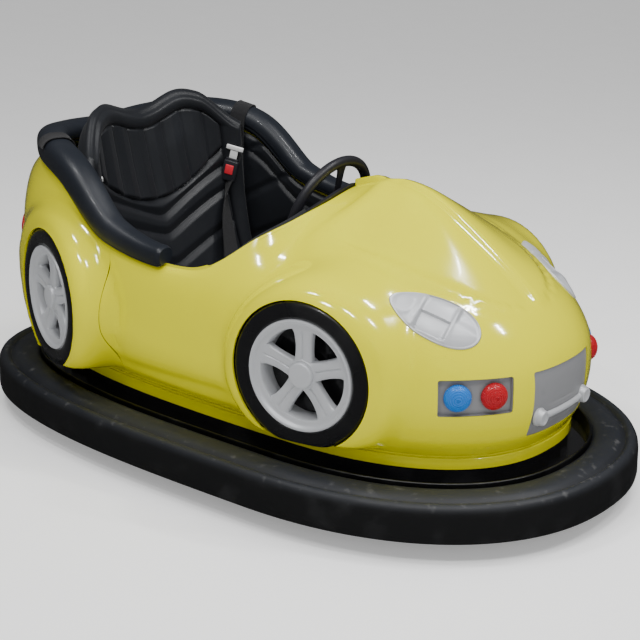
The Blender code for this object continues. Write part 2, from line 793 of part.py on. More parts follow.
def dome_mesh(name, radius, height, segments=24):
    """Dome about Z with a flat base at z = 0."""
    rings = 4
    mesh = bmesh.new()
    rows = []
    for i in range(rings):
        angle = math.pi / 2 * i / rings
        r, z = radius * math.cos(angle), height * math.sin(angle)
        rows.append([])
        for j in range(segments):
            turn = 2 * math.pi * j / segments
            rows[-1].append(mesh.verts.new((r * math.cos(turn), r * math.sin(turn), z)))
    top = mesh.verts.new((0, 0, height))
    for j in range(segments):
        k = (j + 1) % segments
        for i in range(rings - 1):
            mesh.faces.new((rows[i][j], rows[i][k], rows[i + 1][k], rows[i + 1][j]))
        mesh.faces.new((rows[-1][j], rows[-1][k], top))
    mesh.faces.new(list(reversed(rows[0])))
    bmesh.ops.recalc_face_normals(mesh, faces=mesh.faces)
    data = bpy.data.meshes.new(name)
    mesh.to_mesh(data)
    mesh.free()
    return data


def build_tail_lamp(parts, cutters, tree, shell, side, word):
    matrix = face_frame(tree, flipped(TAIL_LAMP_CENTRE, side), Vector((-0.3, side * 0.95, 0)))
    edge = almond(TAIL_LAMP_LENGTH, TAIL_LAMP_WIDTH, 16)
    mesh = pad_mesh(f"tail_lamp_{word}", tree, matrix, edge, (0.5, 1.0), lambda share: 0.008 * (1 - share**2), 0.012)
    shade_smooth(node_object(f"tail_lamp_{word}", mesh, "red_lens", parts))
    cut_pad(shell, cutters, tree, matrix, edge, f"tail_opening_{word}")


def build_nose_plate(parts, cutters, tree, shell):
    matrix = face_frame(tree, PLATE_CENTRE, Vector((0, 1, 0)))
    edge = rounded_rectangle(PLATE_WIDTH, PLATE_HEIGHT, 0.006)
    mesh = pad_mesh("nose_plate", tree, matrix, edge, (0.5, 1.0), lambda share: -0.003, 0.012)
    node_object("nose_plate", mesh, "silver_paint", parts)
    cut_pad(shell, cutters, tree, matrix, edge, "plate_opening")
    bar_mesh = box_mesh("nose_bar", (-BAR_REACH, -0.009, 0.0), (BAR_REACH, 0.009, 0.012))
    bar = node_object("nose_bar", bar_mesh, "silver_paint", parts)
    height = face_height(tree, matrix, 0, BAR_DROP)
    turns = [math.radians(90 + 30 * i) for i in range(7)]
    corners = [(KNOB_RADIUS * math.cos(turn), KNOB_RADIUS * math.sin(turn)) for turn in turns]
    for side in (-1, 1):
        near = [face_height(tree, matrix, side * (BAR_REACH + dx), BAR_DROP + dy) for dx, dy in corners]
        low = max(near) - height
        knob_mesh = cylinder_mesh("bar_knob", KNOB_RADIUS, KNOB_TOP - low, 20)
        knob = helper(f"bar_knob_{side}", knob_mesh, cutters)
        knob.location = (side * BAR_REACH, 0, (KNOB_TOP + low) / 2)
        boolean(bar, knob, "UNION")
    baked(bar)
    bar.matrix_world = matrix @ Matrix.Translation((0, BAR_DROP, height + GAP - PLATE_SINK))


def build_side_wheel(parts, cutters, shell, centre, turn, side, word):
    """A black dummy tyre set in the arch, with a silver spoked cover in it. Neither turns."""
    matrix = cover_matrix(centre, turn, side)
    back = -TYRE_DEPTH
    profile = (
        (0.012, back),
        (TYRE_RADIUS - 0.004, back),
        (TYRE_RADIUS, back + 0.006),
        (TYRE_RADIUS, -0.008),
        (TYRE_RADIUS - 0.010, 0.0),
        (COVER_RADIUS + 0.006, 0.0),
        (COVER_RADIUS, -0.004),
        (COVER_RADIUS, back + TYRE_DISC),
        (0.012, back + TYRE_DISC),
    )
    mesh = turned_mesh(f"dummy_tyre_{word}", profile, 36)
    tyre = node_object(f"dummy_tyre_{word}", mesh, "tyre_rubber", parts)
    tyre.matrix_world = matrix
    foot = helper(f"tyre_foot_{word}", box_mesh("foot", (-1.5, -1.5, 0), (1.5, 1.5, TYRE_FLAT)), cutters)
    boolean(tyre, foot, "DIFFERENCE")
    shade_smooth(tyre)
    boolean(shell, arch_cutter(centre, turn, side, cutters, 2 * GAP, f"arch_{word}"), "DIFFERENCE")
    cover = node_object(f"wheel_cover_{word}", cover_mesh(cutters), "silver_paint", parts)
    cover.data.name = cover.name
    cover.matrix_world = matrix
    shade_smooth(cover)


def cover_mesh(cutters):
    """Five-spoked cover about Z: a stepped rim, spokes and a hub, joined."""
    back = -TYRE_DEPTH + TYRE_DISC + GAP
    outer = COVER_RADIUS - GAP
    rim = turned_mesh(
        "rim",
        (
            (outer, back),
            (outer, -0.003),
            (outer - 0.006, 0.0),
            (outer - 0.016, -0.003),
            (outer - 0.019, -0.014),
            (outer - 0.025, -0.018),
            (outer - 0.025, back),
        ),
        36,
    )
    wheel = helper("cover_rim", rim, cutters)
    hub = helper("cover_hub", cylinder_mesh("hub", 0.030, 0.046, 24), cutters)
    hub.location = (0, 0, -0.034)
    boolean(wheel, hub, "UNION")
    for i in range(SPOKES):
        length = outer - 0.034
        spoke = box_mesh("spoke", (0.014, -0.0155, -0.040), (0.014 + length, 0.0155, -0.016))
        arm = helper(f"cover_spoke_{i}", spoke, cutters)
        arm.rotation_euler = (0, 0, math.radians(90 + 360 * i / SPOKES))
        boolean(wheel, arm, "UNION")
    made = evaluated_mesh(wheel)
    for obj in [o for o in cutters.objects if o.name.startswith("cover_")]:
        bpy.data.objects.remove(obj)
    return made


# Seat and trim


def seat_back_point(across, up):
    """Middle of the seat back's front face: across from -1 to 1, up from 0 at the seat to 1 at the top."""
    width = SEAT_BACK_HALF_WIDTH
    y = across * width
    hump = math.exp(-(((abs(y) - HUMP_Y) / 0.085) ** 2))
    shoulder = smooth((abs(y) - 0.20) / 0.13)
    top = HUMP_DIP + (HUMP_TOP - HUMP_DIP) * hump - (HUMP_DIP - SHOULDER_TOP) * shoulder
    foot = SEAT_TOP - CUSHION_HEIGHT + GAP
    lean = up + 0.10 * math.sin(math.pi * up)
    x = SEAT_BACK_FOOT + (SEAT_BACK_HEAD - SEAT_BACK_FOOT) * lean
    x += (0.01 + (SEAT_BACK_WRAP - 0.01) * up) * abs(across) ** 3
    return Vector((x, y, foot + up * (top - foot)))


def build_seat(parts, cutters):
    columns, rows = 24, 7
    front = []
    for j in range(rows + 1):
        front.append([seat_back_point(-1 + 2 * i / columns, j / rows) for i in range(columns + 1)])
    loops = []
    for i in range(columns + 1):
        loop = [front[j][i] for j in range(rows + 1)]
        back = []
        for j in range(rows, -1, -1):
            depth = SEAT_BACK_DEPTH * (0.55 if j == rows else 1.0)
            before, after = front[j][max(i - 1, 0)], front[j][min(i + 1, columns)]
            along = (after - before).normalized()
            away = Vector((-along.y, along.x, 0)).normalized()
            back.append(front[j][i] + away * depth * (1 if away.x < 0 else -1))
        loops.append(loop + back)
    mesh = mesh_of_grid("seat_back", loops, True, False, capped=True)
    shade_smooth(node_object("seat_back", mesh, "leather", parts), 50)
    low = (SEAT_BACK_FOOT + 0.016, -CUSHION_HALF_WIDTH, SEAT_TOP - CUSHION_HEIGHT + GAP)
    high = (CUSHION_FRONT, CUSHION_HALF_WIDTH, SEAT_TOP)
    cushion = node_object("seat_cushion", box_mesh("seat_cushion", low, high), "leather", parts)
    round_edges(cushion, 0.018, 2)
    seat_floor = SEAT_TOP - CUSHION_HEIGHT
    low = Vector((SEAT_BACK_FOOT - SEAT_BACK_DEPTH, -SEAT_BOX_HALF_WIDTH, PAN_TOP + GAP))
    high = Vector((CUSHION_FRONT - 0.020, SEAT_BOX_HALF_WIDTH, seat_floor))
    box = node_object("seat_box", box_mesh("seat_box", low, high), "black_plastic", parts)
    wall = Vector((SEAT_BOX_WALL, SEAT_BOX_WALL, SEAT_BOX_WALL))
    inside_low = low + wall
    inside_low.z = 0.0
    hollow = helper("seat_box_inside", box_mesh("seat_box_inside", inside_low, high - wall), cutters)
    boolean(box, hollow, "DIFFERENCE")
    low = (SEAT_BACK_FOOT + 0.01, -BATTERY_HALF_WIDTH, PAN_TOP + GAP)
    high = (CUSHION_FRONT - 0.08, BATTERY_HALF_WIDTH, seat_floor - 0.022)
    battery = node_object("battery_pack", box_mesh("battery_pack", low, high), "battery_case", parts)
    round_edges(battery, 0.006, 1)


def round_edges(obj, width, segments):
    bevel = obj.modifiers.new("rounding", "BEVEL")
    bevel.width = width
    bevel.segments = segments
    bevel.limit_method = "ANGLE"
    shade_smooth(obj, 50)


def build_side_pads(parts):
    for side, word in ((-1, "right"), (1, "left")):
        rows = []
        for at in bearings_between(DASH_END + LIP_GAP_BEARING, PAD_END):
            bearing = edge_bearing_at(at)
            top = body_profile(at)[-2].z - 0.003
            section = []
            for inset, z in (
                (2 * GAP, top),
                (2 * GAP + PAD_WALL, top - 0.004),
                (2 * GAP + PAD_WALL + 0.012, PAD_BOTTOM),
                (2 * GAP + 0.016, PAD_BOTTOM),
                (2 * GAP, top - 0.010),
            ):
                x, y = cockpit(bearing, inset)
                section.append(Vector((x, side * y, z)))
            rows.append(section)
        mesh = mesh_of_grid(f"side_pad_{word}", rows, True, False, capped=True)
        shade_smooth(node_object(f"side_pad_{word}", mesh, "leather", parts))


def build_dashboard(parts):
    """Black scuttle panel under the cowl, from one side of the cockpit round to the other."""
    rows = []
    for at in bearings_between(-DASH_END, DASH_END):
        bearing = math.copysign(edge_bearing_at(abs(at)), at)
        top = body_profile(abs(at))[-2].z - 0.003
        section = []
        for inset, z in (
            (2 * GAP, top),
            (0.020, top - 0.004),
            (0.034, DASH_BOTTOM),
            (0.024, DASH_BOTTOM),
            (2 * GAP + 0.004, top - 0.020),
        ):
            section.append(Vector((*cockpit(bearing, inset), z)))
        rows.append(section)
    mesh = mesh_of_grid("dashboard", rows, True, False, capped=True)
    dashboard = node_object("dashboard", mesh, "black_plastic", parts)
    shade_smooth(dashboard)
    return dashboard


def roll_frame(bearing):
    """Centre of the rim roll's section at a bearing from 0 to 360, with its outward, upward and forward ways."""

    def edge(at):
        near = body_profile(min(at, 360 - at))[-2]
        return Vector((near.x, near.y if at <= 180 else -near.y, near.z))

    ahead = (edge(bearing + 1) - edge(bearing - 1)).normalized()
    out = ahead.cross(Vector((0, 0, 1))).normalized()
    up = out.cross(ahead)
    from_end = min(bearing, 360 - bearing) - ROLL_START
    radius = ROLL_FRONT_RADIUS + (ROLL_RADIUS - ROLL_FRONT_RADIUS) * smooth(from_end / ROLL_TAPER)
    return edge(bearing) + up * (radius + ROLL_LIFT), radius, out, up, ahead


def build_rim_roll(parts):
    """Padded roll on the cockpit edge, round the back from one door to the other."""
    sides = 12
    rows = []
    for i in range(round((360 - 2 * ROLL_START) / STEP) + 1):
        centre, radius, out, up, _ = roll_frame(ROLL_START + STEP * i)
        row = []
        for j in range(sides):
            angle = 2 * math.pi * j / sides
            row.append(centre + radius * (out * math.cos(angle) + up * math.sin(angle)))
        rows.append(row)
    mesh = mesh_of_grid("rim_roll", rows, True, False, capped=True)
    shade_smooth(node_object("rim_roll", mesh, "leather", parts), 50)


# Steering


def build_steering(parts, cutters, dashboard):
    axis = Vector((-math.cos(WHEEL_TILT), 0, math.sin(WHEEL_TILT)))
    matrix = axis_matrix(WHEEL_CENTRE, axis)
    rim_profile = []
    for j in range(8):
        angle = 2 * math.pi * j / 8
        rim_profile.append((WHEEL_RADIUS + WHEEL_GRIP * math.cos(angle), WHEEL_GRIP * math.sin(angle)))
    rim = turned_mesh("steering_wheel", rim_profile, 32)
    wheel = node_object("steering_wheel", rim, "black_plastic", parts)
    hub = helper("steering_hub", cylinder_mesh("hub", 0.034, 0.036, 24, 0.030), cutters)
    hub.location = (0, 0, -0.012)
    boolean(wheel, hub, "UNION")
    for i in range(3):
        arm = box_mesh("arm", (0.015, -0.014, -0.010), (WHEEL_RADIUS - 0.004, 0.014, 0.0))
        spoke = helper(f"steering_spoke_{i}", arm, cutters)
        spoke.rotation_euler = (0, 0, math.radians(90 + 120 * i))
        boolean(wheel, spoke, "UNION")
    baked(wheel)
    wheel.matrix_world = matrix
    shade_smooth(wheel)
    bore = SHAFT_RADIUS + RUNNING
    tube = turned_mesh(
        "steering_column",
        (
            (bore, COLUMN_FAR),
            (COLUMN_RADIUS + 0.006, COLUMN_FAR),
            (COLUMN_RADIUS, COLUMN_NEAR - 0.01),
            (COLUMN_RADIUS - 0.006, COLUMN_NEAR),
            (bore, COLUMN_NEAR),
        ),
        28,
    )
    column = node_object("steering_column", tube, "black_plastic", parts)
    column.matrix_world = matrix
    shade_smooth(column)
    shaft_length = -0.0305 - COLUMN_FAR
    rod = cylinder_mesh("steering_shaft", SHAFT_RADIUS, shaft_length, 20)
    shaft = node_object("steering_shaft", rod, "bright_steel", parts)
    shaft.matrix_world = matrix @ Matrix.Translation((0, 0, COLUMN_FAR + shaft_length / 2))
    shade_smooth(shaft)
    drum = cylinder_mesh("column_opening", COLUMN_RADIUS + 0.008, COLUMN_OPENING, 28)
    opening = helper("column_opening", drum, cutters)
    opening.matrix_world = matrix @ Matrix.Translation((0, 0, COLUMN_FAR - 0.03 + COLUMN_OPENING / 2))
    boolean(dashboard, opening, "DIFFERENCE")
    baked(dashboard)
    plate = box_mesh("column_post", (-0.045, -0.045, COLUMN_FAR - 0.010), (0.045, 0.045, COLUMN_FAR - GAP))
    post = node_object("column_post", plate, "black_steel", parts)
    post.matrix_world = matrix
    foot = matrix @ Vector((0, 0, COLUMN_FAR - 0.005))
    low = (foot.x, -0.035, BRIDGE_TOP + GAP)
    high = (foot.x + 0.016, 0.035, foot.z)
    boolean(post, helper("post_leg", box_mesh("post_leg", low, high), cutters), "UNION")


# Drive unit


def build_drive(parts, cutters):
    hub = Vector((DRIVE_X, 0, DRIVE_WHEEL_RADIUS))
    half = DRIVE_WHEEL_WIDTH / 2
    bore = AXLE_RADIUS + RUNNING
    wheel = node_object(
        "drive_wheel",
        turned_mesh(
            "drive_wheel",
            (
                (bore, -half),
                (DRIVE_WHEEL_RADIUS - 0.006, -half),
                (DRIVE_WHEEL_RADIUS, -half + 0.006),
                (DRIVE_WHEEL_RADIUS, half - 0.006),
                (DRIVE_WHEEL_RADIUS - 0.006, half),
                (bore, half),
            ),
            40,
        ),
        "wheel_rubber",
        parts,
    )
    wheel.matrix_world = axis_matrix(hub, (0, 1, 0))
    shade_smooth(wheel)
    inner = half + 0.006
    outer = inner + FORK_WALL
    crown_bottom = 2 * DRIVE_WHEEL_RADIUS + 0.008
    crown_top = crown_bottom + 0.010
    foot = DRIVE_WHEEL_RADIUS - 0.035
    crown = box_mesh("drive_fork", (DRIVE_X - 0.05, -outer, crown_bottom), (DRIVE_X + 0.05, outer, crown_top))
    fork = node_object("drive_fork", crown, "black_steel", parts)
    for side in (-1, 1):
        low = (DRIVE_X - 0.035, min(side * inner, side * outer), foot)
        high = (DRIVE_X + 0.035, max(side * inner, side * outer), crown_bottom + 0.004)
        boolean(fork, helper(f"fork_leg_{side}", box_mesh("fork_leg", low, high), cutters), "UNION")
    pin = helper("fork_pin", cylinder_mesh("fork_pin", AXLE_RADIUS, 2 * outer + 0.012, 20), cutters)
    pin.matrix_world = axis_matrix(hub, (0, 1, 0))
    boolean(fork, pin, "UNION")
    neck_top = BRIDGE_TOP + 0.014
    neck_height = neck_top - crown_top + 0.004
    neck = helper("fork_neck", cylinder_mesh("fork_neck", 0.036, neck_height, 28), cutters)
    neck.location = (DRIVE_X, 0, neck_top - neck_height / 2)
    boolean(fork, neck, "UNION")
    baked(fork)
    motor_height = 0.115
    motor_mesh = cylinder_mesh("drive_motor", 0.058, motor_height, 32)
    motor = node_object("drive_motor", motor_mesh, "motor_paint", parts)
    motor.location = (DRIVE_X, 0, neck_top + GAP + motor_height / 2)
    round_edges(motor, 0.006, 1)
    build_bridge(parts, cutters)


def build_bridge(parts, cutters):
    """Fixed hat-shaped bridge that carries the drive unit's neck."""
    reach = 0.185
    wall = 0.010
    top = BRIDGE_TOP
    low = (DRIVE_X - 0.125, -reach, top - wall)
    high = (DRIVE_X + 0.060, reach, top)
    bridge = node_object("drive_bridge", box_mesh("drive_bridge", low, high), "black_steel", parts)
    for side in (-1, 1):
        a, b = sorted((side * (reach - wall), side * reach))
        low = (DRIVE_X - 0.060, a, PAN_TOP + GAP)
        leg = box_mesh("leg", low, (DRIVE_X + 0.060, b, top - 0.004))
        boolean(bridge, helper(f"bridge_leg_{side}", leg, cutters), "UNION")
        a, b = sorted((side * (reach - 0.004), side * (reach + 0.035)))
        foot = box_mesh("foot", (DRIVE_X - 0.060, a, PAN_TOP + GAP), (DRIVE_X + 0.060, b, PAN_TOP + GAP + wall))
        boolean(bridge, helper(f"bridge_foot_{side}", foot, cutters), "UNION")
    hole = helper("bridge_hole", cylinder_mesh("bridge_hole", 0.036 + RUNNING, 0.06, 28), cutters)
    hole.location = (DRIVE_X, 0, top)
    boolean(bridge, hole, "DIFFERENCE")
    baked(bridge)


def build_rear_axle(parts, cutters):
    centre = Vector((REAR_AXLE_X, 0, REAR_WHEEL_RADIUS))
    half = REAR_WHEEL_WIDTH / 2
    tip = REAR_WHEEL_Y + half + 0.010
    rod = cylinder_mesh("rear_axle", AXLE_RADIUS, 2 * tip, 20)
    axle = node_object("rear_axle", rod, "bright_steel", parts)
    axle.matrix_world = axis_matrix(centre, (0, 1, 0))
    bottom = PAN_TOP - PAN_WALL - GAP - RAIL_HEIGHT
    for side in (-1, 1):
        low = (REAR_AXLE_X - 0.022, side * RAIL_Y - 0.006, REAR_WHEEL_RADIUS - 0.018)
        high = (REAR_AXLE_X + 0.022, side * RAIL_Y + 0.006, bottom - GAP)
        boolean(axle, helper(f"axle_lug_{side}", box_mesh("axle_lug", low, high), cutters), "UNION")
        collar = helper(f"axle_nut_{side}", cylinder_mesh("axle_nut", 0.017, 0.009, 6), cutters)
        collar.matrix_world = axis_matrix(centre + Vector((0, side * (tip - 0.0046), 0)), (0, 1, 0))
        boolean(axle, collar, "UNION")
        bore = AXLE_RADIUS + RUNNING
        wheel_mesh = turned_mesh(
            "rear_wheel",
            (
                (bore, -half),
                (REAR_WHEEL_RADIUS - 0.005, -half),
                (REAR_WHEEL_RADIUS, -half + 0.005),
                (REAR_WHEEL_RADIUS, half - 0.005),
                (REAR_WHEEL_RADIUS - 0.005, half),
                (bore, half),
            ),
            36,
        )
        word = "left" if side > 0 else "right"
        wheel = node_object(f"rear_wheel_{word}", wheel_mesh, "wheel_rubber", parts)
        wheel.matrix_world = axis_matrix(centre + Vector((0, side * REAR_WHEEL_Y, 0)), (0, 1, 0))
        shade_smooth(wheel)


# Controls and belts


def build_pedal(parts, cutters):
    base_x = 0.240
    low = (base_x, -0.110, PAN_TOP + GAP)
    high = (base_x + 0.090, -0.030, PAN_TOP + 0.012)
    pedal = node_object("accelerator_pedal", box_mesh("accelerator_pedal", low, high), "black_plastic", parts)
    plate = helper("pedal_plate", box_mesh("pedal_plate", (0, -0.035, 0), (0.120, 0.035, 0.010)), cutters)
    plate.location = (base_x + 0.002, -0.070, PAN_TOP + 0.006)
    plate.rotation_euler = (0, math.radians(-28), 0)
    boolean(pedal, plate, "UNION")


def ribbon_mesh(name, points, width_way, width, thickness):
    """A flat strap along points. width_way is the direction of its width."""
    rows = []
    way = Vector(width_way).normalized() * width / 2
    for i, point in enumerate(points):
        before = points[max(i - 1, 0)]
        after = points[min(i + 1, len(points) - 1)]
        normal = (after - before).cross(way).normalized() * thickness / 2
        rows.append([point - way - normal, point + way - normal, point + way + normal, point - way + normal])
    return mesh_of_grid(name, rows, True, False, capped=True)


def build_belts(parts):
    """A lap belt on each side: over the rim roll and down inside it, with its buckle."""
    for side, word in ((1, "left"), (-1, "right")):
        bearing = BELT_BEARING if side > 0 else 360 - BELT_BEARING
        centre, radius, out, up, ahead = roll_frame(bearing)
        reach = radius + BELT_THICKNESS / 2 + 0.0009
        points = []
        for i in range(8):
            angle = math.radians(30 + 150 * i / 7)
            points.append(centre + reach * (out * math.cos(angle) + up * math.sin(angle)))
        last = points[-1]
        for i in range(1, 6):
            points.append(last + Vector((0, 0, -BELT_DROP * i / 5)) + out * 0.004 * i / 5)
        mesh = ribbon_mesh(f"seat_belt_{word}", points, ahead, BELT_WIDTH, BELT_THICKNESS)
        shade_smooth(node_object(f"seat_belt_{word}", mesh, "webbing", parts), 60)
        along = (points[-1] - points[-2]).normalized()
        face = along.cross(ahead).normalized()
        if face.dot(out) > 0:
            face = -face
        middle = (points[-3] + points[-2]) / 2 + face * (BELT_THICKNESS / 2 + GAP)
        buckle_mesh = box_mesh("buckle", (-0.030, -0.040, 0.0), (0.030, 0.040, 0.014))
        buckle = node_object(f"belt_buckle_{word}", buckle_mesh, "black_plastic", parts)
        buckle.matrix_world = axis_matrix(middle, face)
        round_edges(buckle, 0.004, 1)


def main():
    for obj in list(bpy.data.objects):
        bpy.data.objects.remove(obj)
    parts = new_collection("bumper_car")
    cutters = new_collection("cutters")
    build_bumper(parts)
    band_inner = build_band(parts)
    build_pan(parts, cutters, band_inner)
    build_frame(parts, cutters)
    build_hoop(parts)
    build_body(parts, cutters)
    build_seat(parts, cutters)
    build_side_pads(parts)
    dashboard = build_dashboard(parts)
    build_rim_roll(parts)
    build_steering(parts, cutters, dashboard)
    build_drive(parts, cutters)
    build_rear_axle(parts, cutters)
    build_pedal(parts, cutters)
    build_belts(parts)


main()
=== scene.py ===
"""Looks of the two-seat battery bumper car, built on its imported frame.

The car is in metres, +X forward, +Y left and +Z up, with the floor at z = 0. Each sub-assembly is a
class that holds its sizes, builds its meshes and dresses them: the rubber ring, the gelcoat shells, the
lamps, the side wheels, the padded cockpit, the belts, the steering wheel and the running gear.
"""

from __future__ import annotations

import logging
import math
from dataclasses import dataclass
from enum import Enum
from typing import Callable, Iterable, Sequence

import bmesh
import bpy
import numpy as np
from mathutils import Matrix, Vector
from mathutils.bvhtree import BVHTree

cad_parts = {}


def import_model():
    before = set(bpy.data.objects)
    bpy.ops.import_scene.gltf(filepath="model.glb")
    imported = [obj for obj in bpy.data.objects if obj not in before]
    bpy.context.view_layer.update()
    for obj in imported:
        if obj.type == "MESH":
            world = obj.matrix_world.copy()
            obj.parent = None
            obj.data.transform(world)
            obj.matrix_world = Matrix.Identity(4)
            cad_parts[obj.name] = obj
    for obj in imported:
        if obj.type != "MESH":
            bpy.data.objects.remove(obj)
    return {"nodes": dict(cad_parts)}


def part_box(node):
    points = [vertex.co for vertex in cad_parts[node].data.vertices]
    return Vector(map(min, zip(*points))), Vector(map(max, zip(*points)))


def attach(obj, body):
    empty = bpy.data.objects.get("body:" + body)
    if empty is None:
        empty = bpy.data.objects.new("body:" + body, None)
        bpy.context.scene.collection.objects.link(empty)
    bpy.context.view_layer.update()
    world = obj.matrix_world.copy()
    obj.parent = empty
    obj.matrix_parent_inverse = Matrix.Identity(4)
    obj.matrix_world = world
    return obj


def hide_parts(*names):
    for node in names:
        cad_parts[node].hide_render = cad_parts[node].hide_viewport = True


LOG = logging.getLogger("bumper_car")
FRAME: dict = {}

Grid = np.ndarray
HeightRule = Callable[[np.ndarray, np.ndarray], np.ndarray]


class Side(Enum):
    """Side of the car, with the sign of its y."""

    LEFT = 1
    RIGHT = -1

    @property
    def word(self) -> str:
        """Word used in the names of pieces."""
        return self.name.lower()


class Grain(Enum):
    """Kind of fine texture that raises a surface."""

    NONE = "none"
    ORANGE_PEEL = "orange_peel"
    HIDE = "hide"
    WEAVE = "weave"
    BRUSHED = "brushed"
    CAST = "cast"


# Finishes


@dataclass(frozen=True)
class Finish:
    """A surface finish: its colours, its shine and its fine grain."""

    name: str
    color: tuple[float, float, float]
    worn: tuple[float, float, float]
    roughness: tuple[float, float]
    grain: Grain = Grain.NONE
    grain_scale: float = 400.0
    grain_depth: float = 0.0002
    mottle_scale: float = 6.0
    wear: tuple[float, float] = (0.55, 0.75)
    metallic: float = 0.0
    coat: float = 0.0
    sheen: float = 0.0
    transmission: float = 0.0
    glow: float = 0.0

    def material(self) -> bpy.types.Material:
        """The finish as a material, made on its first use.

        Returns:
            The material with its node tree.
        """
        found = bpy.data.materials.get(self.name)
        if found is not None:
            return found
        made = bpy.data.materials.new(self.name)
        made.use_nodes = True
        tree = made.node_tree
        shader = tree.nodes["Principled BSDF"]
        shader.inputs["Metallic"].default_value = self.metallic
        shader.inputs["Coat Weight"].default_value = self.coat
        shader.inputs["Coat Roughness"].default_value = 0.04
        shader.inputs["Sheen Weight"].default_value = self.sheen
        shader.inputs["Transmission Weight"].default_value = self.transmission
        shader.inputs["Emission Color"].default_value = (*self.color, 1.0)
        shader.inputs["Emission Strength"].default_value = self.glow
        place = tree.nodes.new("ShaderNodeTexCoord").outputs["Object"]
        self._colour(tree, shader, place)
        self._grain(tree, shader, place)
        return made

    def _noise(
        self,
        tree: bpy.types.NodeTree,
        place: bpy.types.NodeSocket,
        scale: float,
        detail: float,
    ) -> bpy.types.NodeSocket:
        """A noise in object space.

        Args:
            tree: The material's nodes.
            place: The coordinates it reads.
            scale: Its scale in cells per metre.
            detail: Its octaves.

        Returns:
            The noise's factor output.
        """
        noise = tree.nodes.new("ShaderNodeTexNoise")
        noise.inputs["Scale"].default_value = scale
        noise.inputs["Detail"].default_value = detail
        tree.links.new(place, noise.inputs["Vector"])
        return noise.outputs["Fac"]

    def _colour(
        self,
        tree: bpy.types.NodeTree,
        shader: bpy.types.Node,
        place: bpy.types.NodeSocket,
    ) -> None:
        """Mix the clean and worn colours and vary the roughness with a mottle.

        Args:
            tree: The material's nodes.
            shader: The Principled shader.
            place: The coordinates that the mottle reads.
        """
        mottle = self._noise(tree, place, self.mottle_scale, 6.0)
        ramp = tree.nodes.new("ShaderNodeValToRGB")
        ramp.color_ramp.elements[0].position = self.wear[0]
        ramp.color_ramp.elements[0].color = (*self.color, 1.0)
        ramp.color_ramp.elements[1].position = self.wear[1]
        ramp.color_ramp.elements[1].color = (*self.worn, 1.0)
        tree.links.new(mottle, ramp.inputs["Fac"])
        tree.links.new(ramp.outputs["Color"], shader.inputs["Base Color"])
        rough = tree.nodes.new("ShaderNodeMapRange")
        rough.inputs["From Min"].default_value = 0.3
        rough.inputs["From Max"].default_value = 0.7
        rough.inputs["To Min"].default_value = self.roughness[0]
        rough.inputs["To Max"].default_value = self.roughness[1]
        tree.links.new(mottle, rough.inputs["Value"])
        tree.links.new(rough.outputs["Result"], shader.inputs["Roughness"])

    def _grain(self, tree: bpy.types.NodeTree, shader: bpy.types.Node, place: bpy.types.NodeSocket) -> None:
        """Raise the surface with the finish's grain.

        Args:
            tree: The material's nodes.
            shader: The Principled shader.
            place: The coordinates that the grain reads.
        """
        if self.grain is Grain.NONE:
            return
        if self.grain is Grain.HIDE:
            cells = tree.nodes.new("ShaderNodeTexVoronoi")
            cells.feature = "DISTANCE_TO_EDGE"
            cells.inputs["Scale"].default_value = self.grain_scale
            tree.links.new(place, cells.inputs["Vector"])
            height = cells.outputs["Distance"]
        elif self.grain is Grain.WEAVE:
            waves = tree.nodes.new("ShaderNodeTexWave")
            waves.wave_type = "BANDS"
            waves.bands_direction = "DIAGONAL"
            waves.inputs["Scale"].default_value = self.grain_scale
            waves.inputs["Distortion"].default_value = 0.6
            tree.links.new(place, waves.inputs["Vector"])
            height = waves.outputs["Fac"]
        elif self.grain is Grain.BRUSHED:
            stretch = tree.nodes.new("ShaderNodeMapping")
            stretch.inputs["Scale"].default_value = (0.05, 0.05, 1.0)
            tree.links.new(place, stretch.inputs["Vector"])
            height = self._noise(tree, stretch.outputs["Vector"], self.grain_scale, 3.0)
        else:
            height = self._noise(tree, place, self.grain_scale, 3.0)
        bump = tree.nodes.new("ShaderNodeBump")
        bump.inputs["Strength"].default_value = 0.6
        bump.inputs["Distance"].default_value = self.grain_depth
        tree.links.new(height, bump.inputs["Height"])
        tree.links.new(bump.outputs["Normal"], shader.inputs["Normal"])


